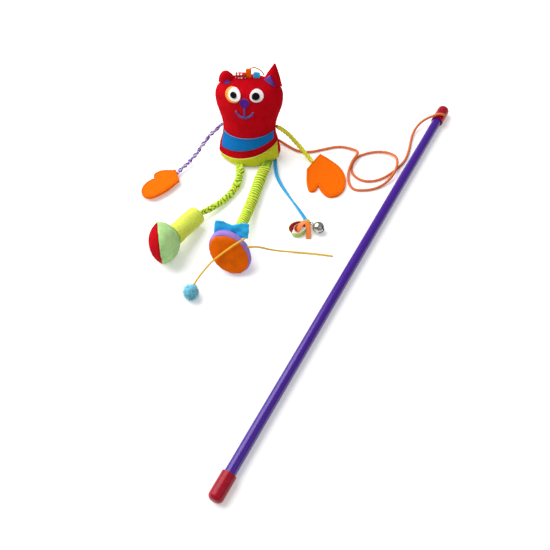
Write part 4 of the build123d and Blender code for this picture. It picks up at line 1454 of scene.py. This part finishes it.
class WAND_OT_feet(Dressing):
    """Stuffed feet, cuff and bow"""

    bl_idname = "wand.feet"
    bl_label = "Feet"

    def make(self, c, z):
        """Swells each half of the feet, with its pile, and rounds the felt at the ankles."""
        halves = {
            "foot_left_upper": ("mint_plush", c.mint, "foot_left"),
            "foot_left_sole": ("red_sole", c.red_sole, "foot_left"),
            "foot_right_upper": ("lavender_plush", c.lavender, "foot_right"),
            "foot_right_sole": ("orange_sole", c.orange_sole, "foot_right"),
        }
        for seed, (node, (slot, tone, body)) in enumerate(halves.items()):
            material = velour(slot, tuple(tone))
            piece = rounded(node + "_cloth", (node,), 0.9, 1)
            other = node.replace("upper", "sole") if "upper" in node else node.replace("sole", "upper")
            stuffed(piece, 4.0, 0.8, [other], 2.5)
            dressed(waved(finer(piece, 1), 7.0, 0.35, seed), material, body, slot, (node,))
            pile(piece, FOOT_PILE, z.pile, seed + 11, material, body, slot)
        cuff = rounded("ankle_cuff_felt", ("ankle_cuff",), 0.5, 3)
        cuff_felt = felt("cuff_felt", tuple(c.cuff))
        dressed(waved(cuff, 8.0, 0.5, 5), cuff_felt, "foot_left", "cuff_felt", ("ankle_cuff",))
        bow = rounded("ankle_bow_felt", ("ankle_bow",), 0.35, 3)
        sky = felt("bow_felt", shade(tuple(c.sky), 1.45))
        dressed(waved(bow, 5.0, 1.0, 6), sky, "foot_right", "sky_felt", ("ankle_bow",))


class WAND_OT_strings(Dressing):
    """Golden strings and the pom-pom"""

    bl_idname = "wand.strings"
    bl_label = "Strings and pom-pom"

    def make(self, c, z):
        """Lays the two strings and grows the pom-pom on the front one."""
        gold = twist("gold_string", tuple(c.gold))
        front = self.string("toe_string_front", STRING_FRONT_ROUTE, "pompom_string", gold, z)
        tail = self.string("toe_string_tail", STRING_TAIL_ROUTE, "foot_right", gold, z)
        ball = self.pompom(c, z)
        declare_cord(*front, 0.0646, z.string_width, "fitting", ball)
        declare_cord(*tail, 0.085, z.string_width, "bare")

    def string(self, node, route, body, material, z):
        """One string of three plies."""
        line = spline_line(route, 240)
        build = bmesh.new()
        for ply in range(3):
            wound = strand_line(line, z.string_width * 0.24, 16, math.tau * ply / 3)
            add_tube(build, wound, lambda share, angle: z.string_width * 0.34, 8)
        piece = made(node + "_plied", closed_normals(build), material, body, "gold_string", (node,))
        return piece, route, line

    def pompom(self, c, z):
        """Clumps of wool with cut strands standing out of them."""
        low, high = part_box("pompom")
        centre = (Vector(low) + Vector(high)) / 2
        reach = (high[2] - low[2]) / 2
        sky = wool("sky_wool", tuple(c.wool))
        build = bmesh.new()
        bmesh.ops.create_icosphere(build, subdivisions=4, radius=reach * 0.72)
        bmesh.ops.translate(build, verts=build.verts, vec=centre)
        core = made("pompom_core", build, sky, "pompom_string", "sky_wool")
        waved(core, 2.4, 0.8, 3)
        tufts = self.wool_strands("pompom_tufts", core, sky, z.tufts, z.tuft, TUFT_WIDTH, 4)
        fibres = self.wool_strands("pompom_fibres", core, sky, z.strands, z.strand, STRAND_WIDTH, 9)
        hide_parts("pompom")
        return [tufts, fibres, core]

    def wool_strands(self, name, core, wool_cloth, count, size, width, seed):
        """Strands of one kind that stand out of the pom-pom's core."""
        area = sum(face.area for face in core.data.polygons)
        dress = (seed, wool_cloth, "pompom_string", "sky_wool")
        return fibres_on(name, core, count / area, size, width, WOOL_LEAN, 0.0, *dress)


class WAND_OT_tail(Dressing):
    """Tail cord, ribbons and bell"""

    bl_idname = "wand.tail"
    bl_label = "Tail and bell"

    def make(self, c, z):
        """Lays the double tail cord, curls the ribbons and finishes the bell."""
        line = spline_line(TAIL_ROUTE, 200)
        width = z.tail_width
        build = bmesh.new()
        for phase in (0.0, math.pi):
            strand = strand_line(reached(line, TAIL_TUCK, 0.0), width * 0.25, 0.5, phase)
            add_tube(build, strand, lambda share, angle: width * 0.26, 12)
        sky = braid("sky_cord", tuple(c.tail), 1.6, 4.0)
        tail = made("tail_double", closed_normals(build), sky, "tail", "sky_cord", ("tail_cord",))
        declare_cord(tail, TAIL_ROUTE, line, 0.084, width, "object")
        self.ribbons(c)
        silver = polished("silver_bell", tuple(c.silver))
        for node in ("bell_cup", "bell_cap", "bell_loop", "bell_pellet"):
            cad_finish(node, silver)

    def ribbons(self, c):
        """The ribbon loop, the strap over it and the band that binds them, in the place of their solids."""
        red, green, orange = tuple(c.ribbon_red), tuple(c.ribbon_green), tuple(c.ribbon_orange)
        build = bmesh.new()
        for turn in RIBBON_TURNS:
            self.curl(build, *turn)
        loop = satin("red_ribbon", green, red, PALE_EDGE)
        made("ribbon_curl", build, loop, "tail", "red_ribbon", ("ribbon_red", "ribbon_green"))
        build = bmesh.new()
        line = spline_line(STRAP_ROUTE, 60)
        # The strap's inner side is its orange made darker: painted shade on its underside.
        strap = satin("orange_ribbon", orange, shade(orange, 0.7), orange)
        self.strip(build, line)
        made("ribbon_strap", build, strap, "tail", "orange_ribbon", ("ribbon_orange",))
        centre = Vector(TAIL_ROUTE[-1]) * MM
        ahead = (centre - Vector(TAIL_ROUTE[-2]) * MM).normalized()
        axis = [centre + ahead * share * BAND_LENGTH * MM for share in (-0.5, 0.0, 0.5)]
        wound = strand_line(even(axis, 90), BAND_REACH * MM, 3.5, 0.4)
        build = bmesh.new()
        add_tube(build, wound, lambda share, angle: BAND_STRAND * MM, 10)
        band = satin("bound_ribbon", green, shade(red, 0.5), PALE_EDGE)
        made("knot_wound", closed_normals(build), band, "tail", "red_ribbon", ("knot_band",))

    def curl(self, build, heading, size, width, low, high, front, back):
        """A loop of ribbon on edge that starts at the tail's knot and leans out away from it."""
        knot = Vector((*TAIL_ROUTE[-1][:2], 0.0))
        turn = math.radians(heading)
        ahead = Vector((math.cos(turn), math.sin(turn), 0.0))
        aside = UP.cross(ahead)
        long, wide = size / 2 - 0.5, width / 2 - 0.5
        places = []
        for step in range(RIBBON_STEPS):
            angle = math.tau * step / RIBBON_STEPS
            along = RIBBON_START + long - long * math.cos(angle)
            place = knot + ahead * along + aside * wide * math.sin(angle)
            out = (aside * math.sin(angle) * long - ahead * math.cos(angle) * wide).normalized()
            far = math.sin(angle / 2) ** 2
            tilt = math.radians((front + back) / 2 + (front - back) / 2 * math.sin(angle)) * far
            up = UP * math.cos(tilt) + out * math.sin(tilt)
            face = out * math.cos(tilt) - UP * math.sin(tilt)
            middle = place + UP * ((low + high) / 2 + 0.5 * far * math.sin(2 * angle))
            places.append((middle * MM, up * (high - low) * MM, face))
        self.ribbon(build, places + places[:1], math.pi * (long + wide))

    def strip(self, build, line):
        """A flat ribbon along a line, its faces turned up."""
        places = []
        for index, place in enumerate(line):
            ahead = line[min(index + 1, len(line) - 1)] - line[max(index - 1, 0)]
            across = ahead.cross(UP).normalized()
            places.append((place, across * STRAP_WIDTH * MM, across.cross(ahead).normalized()))
        self.ribbon(build, places, line_length(line) / MM)

    def ribbon(self, build, places, spread):
        """A thin ribbon through places, each with its vector from edge to edge and its outer side."""
        layer = build.loops.layers.uv.get("route") or build.loops.layers.uv.new("route")
        inner = build.verts.layers.float.get("inner_side") or build.verts.layers.float.new("inner_side")
        closed = places[0] is places[-1]
        rings = []
        for middle, up, face in places[: len(places) - closed]:
            ring = []
            for skin in (1, -1):
                for across in range(RIBBON_ACROSS + 1):
                    offset = up * (across / RIBBON_ACROSS - 0.5) + face * skin * RIBBON_HALF * MM
                    vertex = build.verts.new(middle + offset)
                    vertex[inner] = (1 - skin) / 2
                    ring.append(vertex)
            rings.append(ring)
        count = RIBBON_ACROSS + 1
        around = [*range(count), *reversed(range(count, 2 * count))]
        if closed:
            rings.append(rings[0])
        else:
            for ring in (rings[0], rings[-1]):
                build.faces.new([ring[index] for index in around])
        for step, (first, second) in enumerate(zip(rings, rings[1:])):
            run = [spread * (step + ahead_by) / (len(rings) - 1) for ahead_by in (0, 1)]
            for one, two in zip(around, around[1:] + around[:1]):
                face = build.faces.new((first[one], second[one], second[two], first[two]))
                for loop, (index, end) in zip(face.loops, ((one, 0), (one, 1), (two, 1), (two, 0))):
                    loop[layer].uv = (index % count / RIBBON_ACROSS, run[end])
        closed_normals(build)


PIECES = (
    WAND_OT_stage,
    WAND_OT_rod,
    WAND_OT_tether,
    WAND_OT_body,
    WAND_OT_face,
    WAND_OT_crown,
    WAND_OT_arms,
    WAND_OT_legs,
    WAND_OT_feet,
    WAND_OT_strings,
    WAND_OT_tail,
)


class WAND_PT_panel(bpy.types.Panel):
    """The dressing steps in the sidebar."""

    bl_label = "Teaser wand"
    bl_idname = "WAND_PT_panel"
    bl_space_type = "VIEW_3D"
    bl_region_type = "UI"
    bl_category = "Teaser wand"

    def draw(self, context):
        """Lists the steps."""
        for piece in PIECES:
            self.layout.operator(piece.bl_idname)


CLASSES = (WandColours, WandSizes, *PIECES, WAND_PT_panel)


def register():
    """Registers the classes and their properties."""
    for item in CLASSES:
        bpy.utils.register_class(item)
    bpy.types.Scene.wand_colours = PointerProperty(type=WandColours)
    bpy.types.Scene.wand_sizes = PointerProperty(type=WandSizes)


def unregister():
    """Takes the classes and their properties away."""
    del bpy.types.Scene.wand_colours
    del bpy.types.Scene.wand_sizes
    for item in reversed(CLASSES):
        bpy.utils.unregister_class(item)


def main():
    """Runs the steps in order."""
    register()
    for piece in PIECES:
        group, name = piece.bl_idname.split(".")
        getattr(getattr(bpy.ops, group), name)()
    boxes = {"cad": CAD_BOX, "visual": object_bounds()}
    {key: [list(corner) for corner in box] for key, box in boxes.items()}


if __name__ == "__main__":
    main()
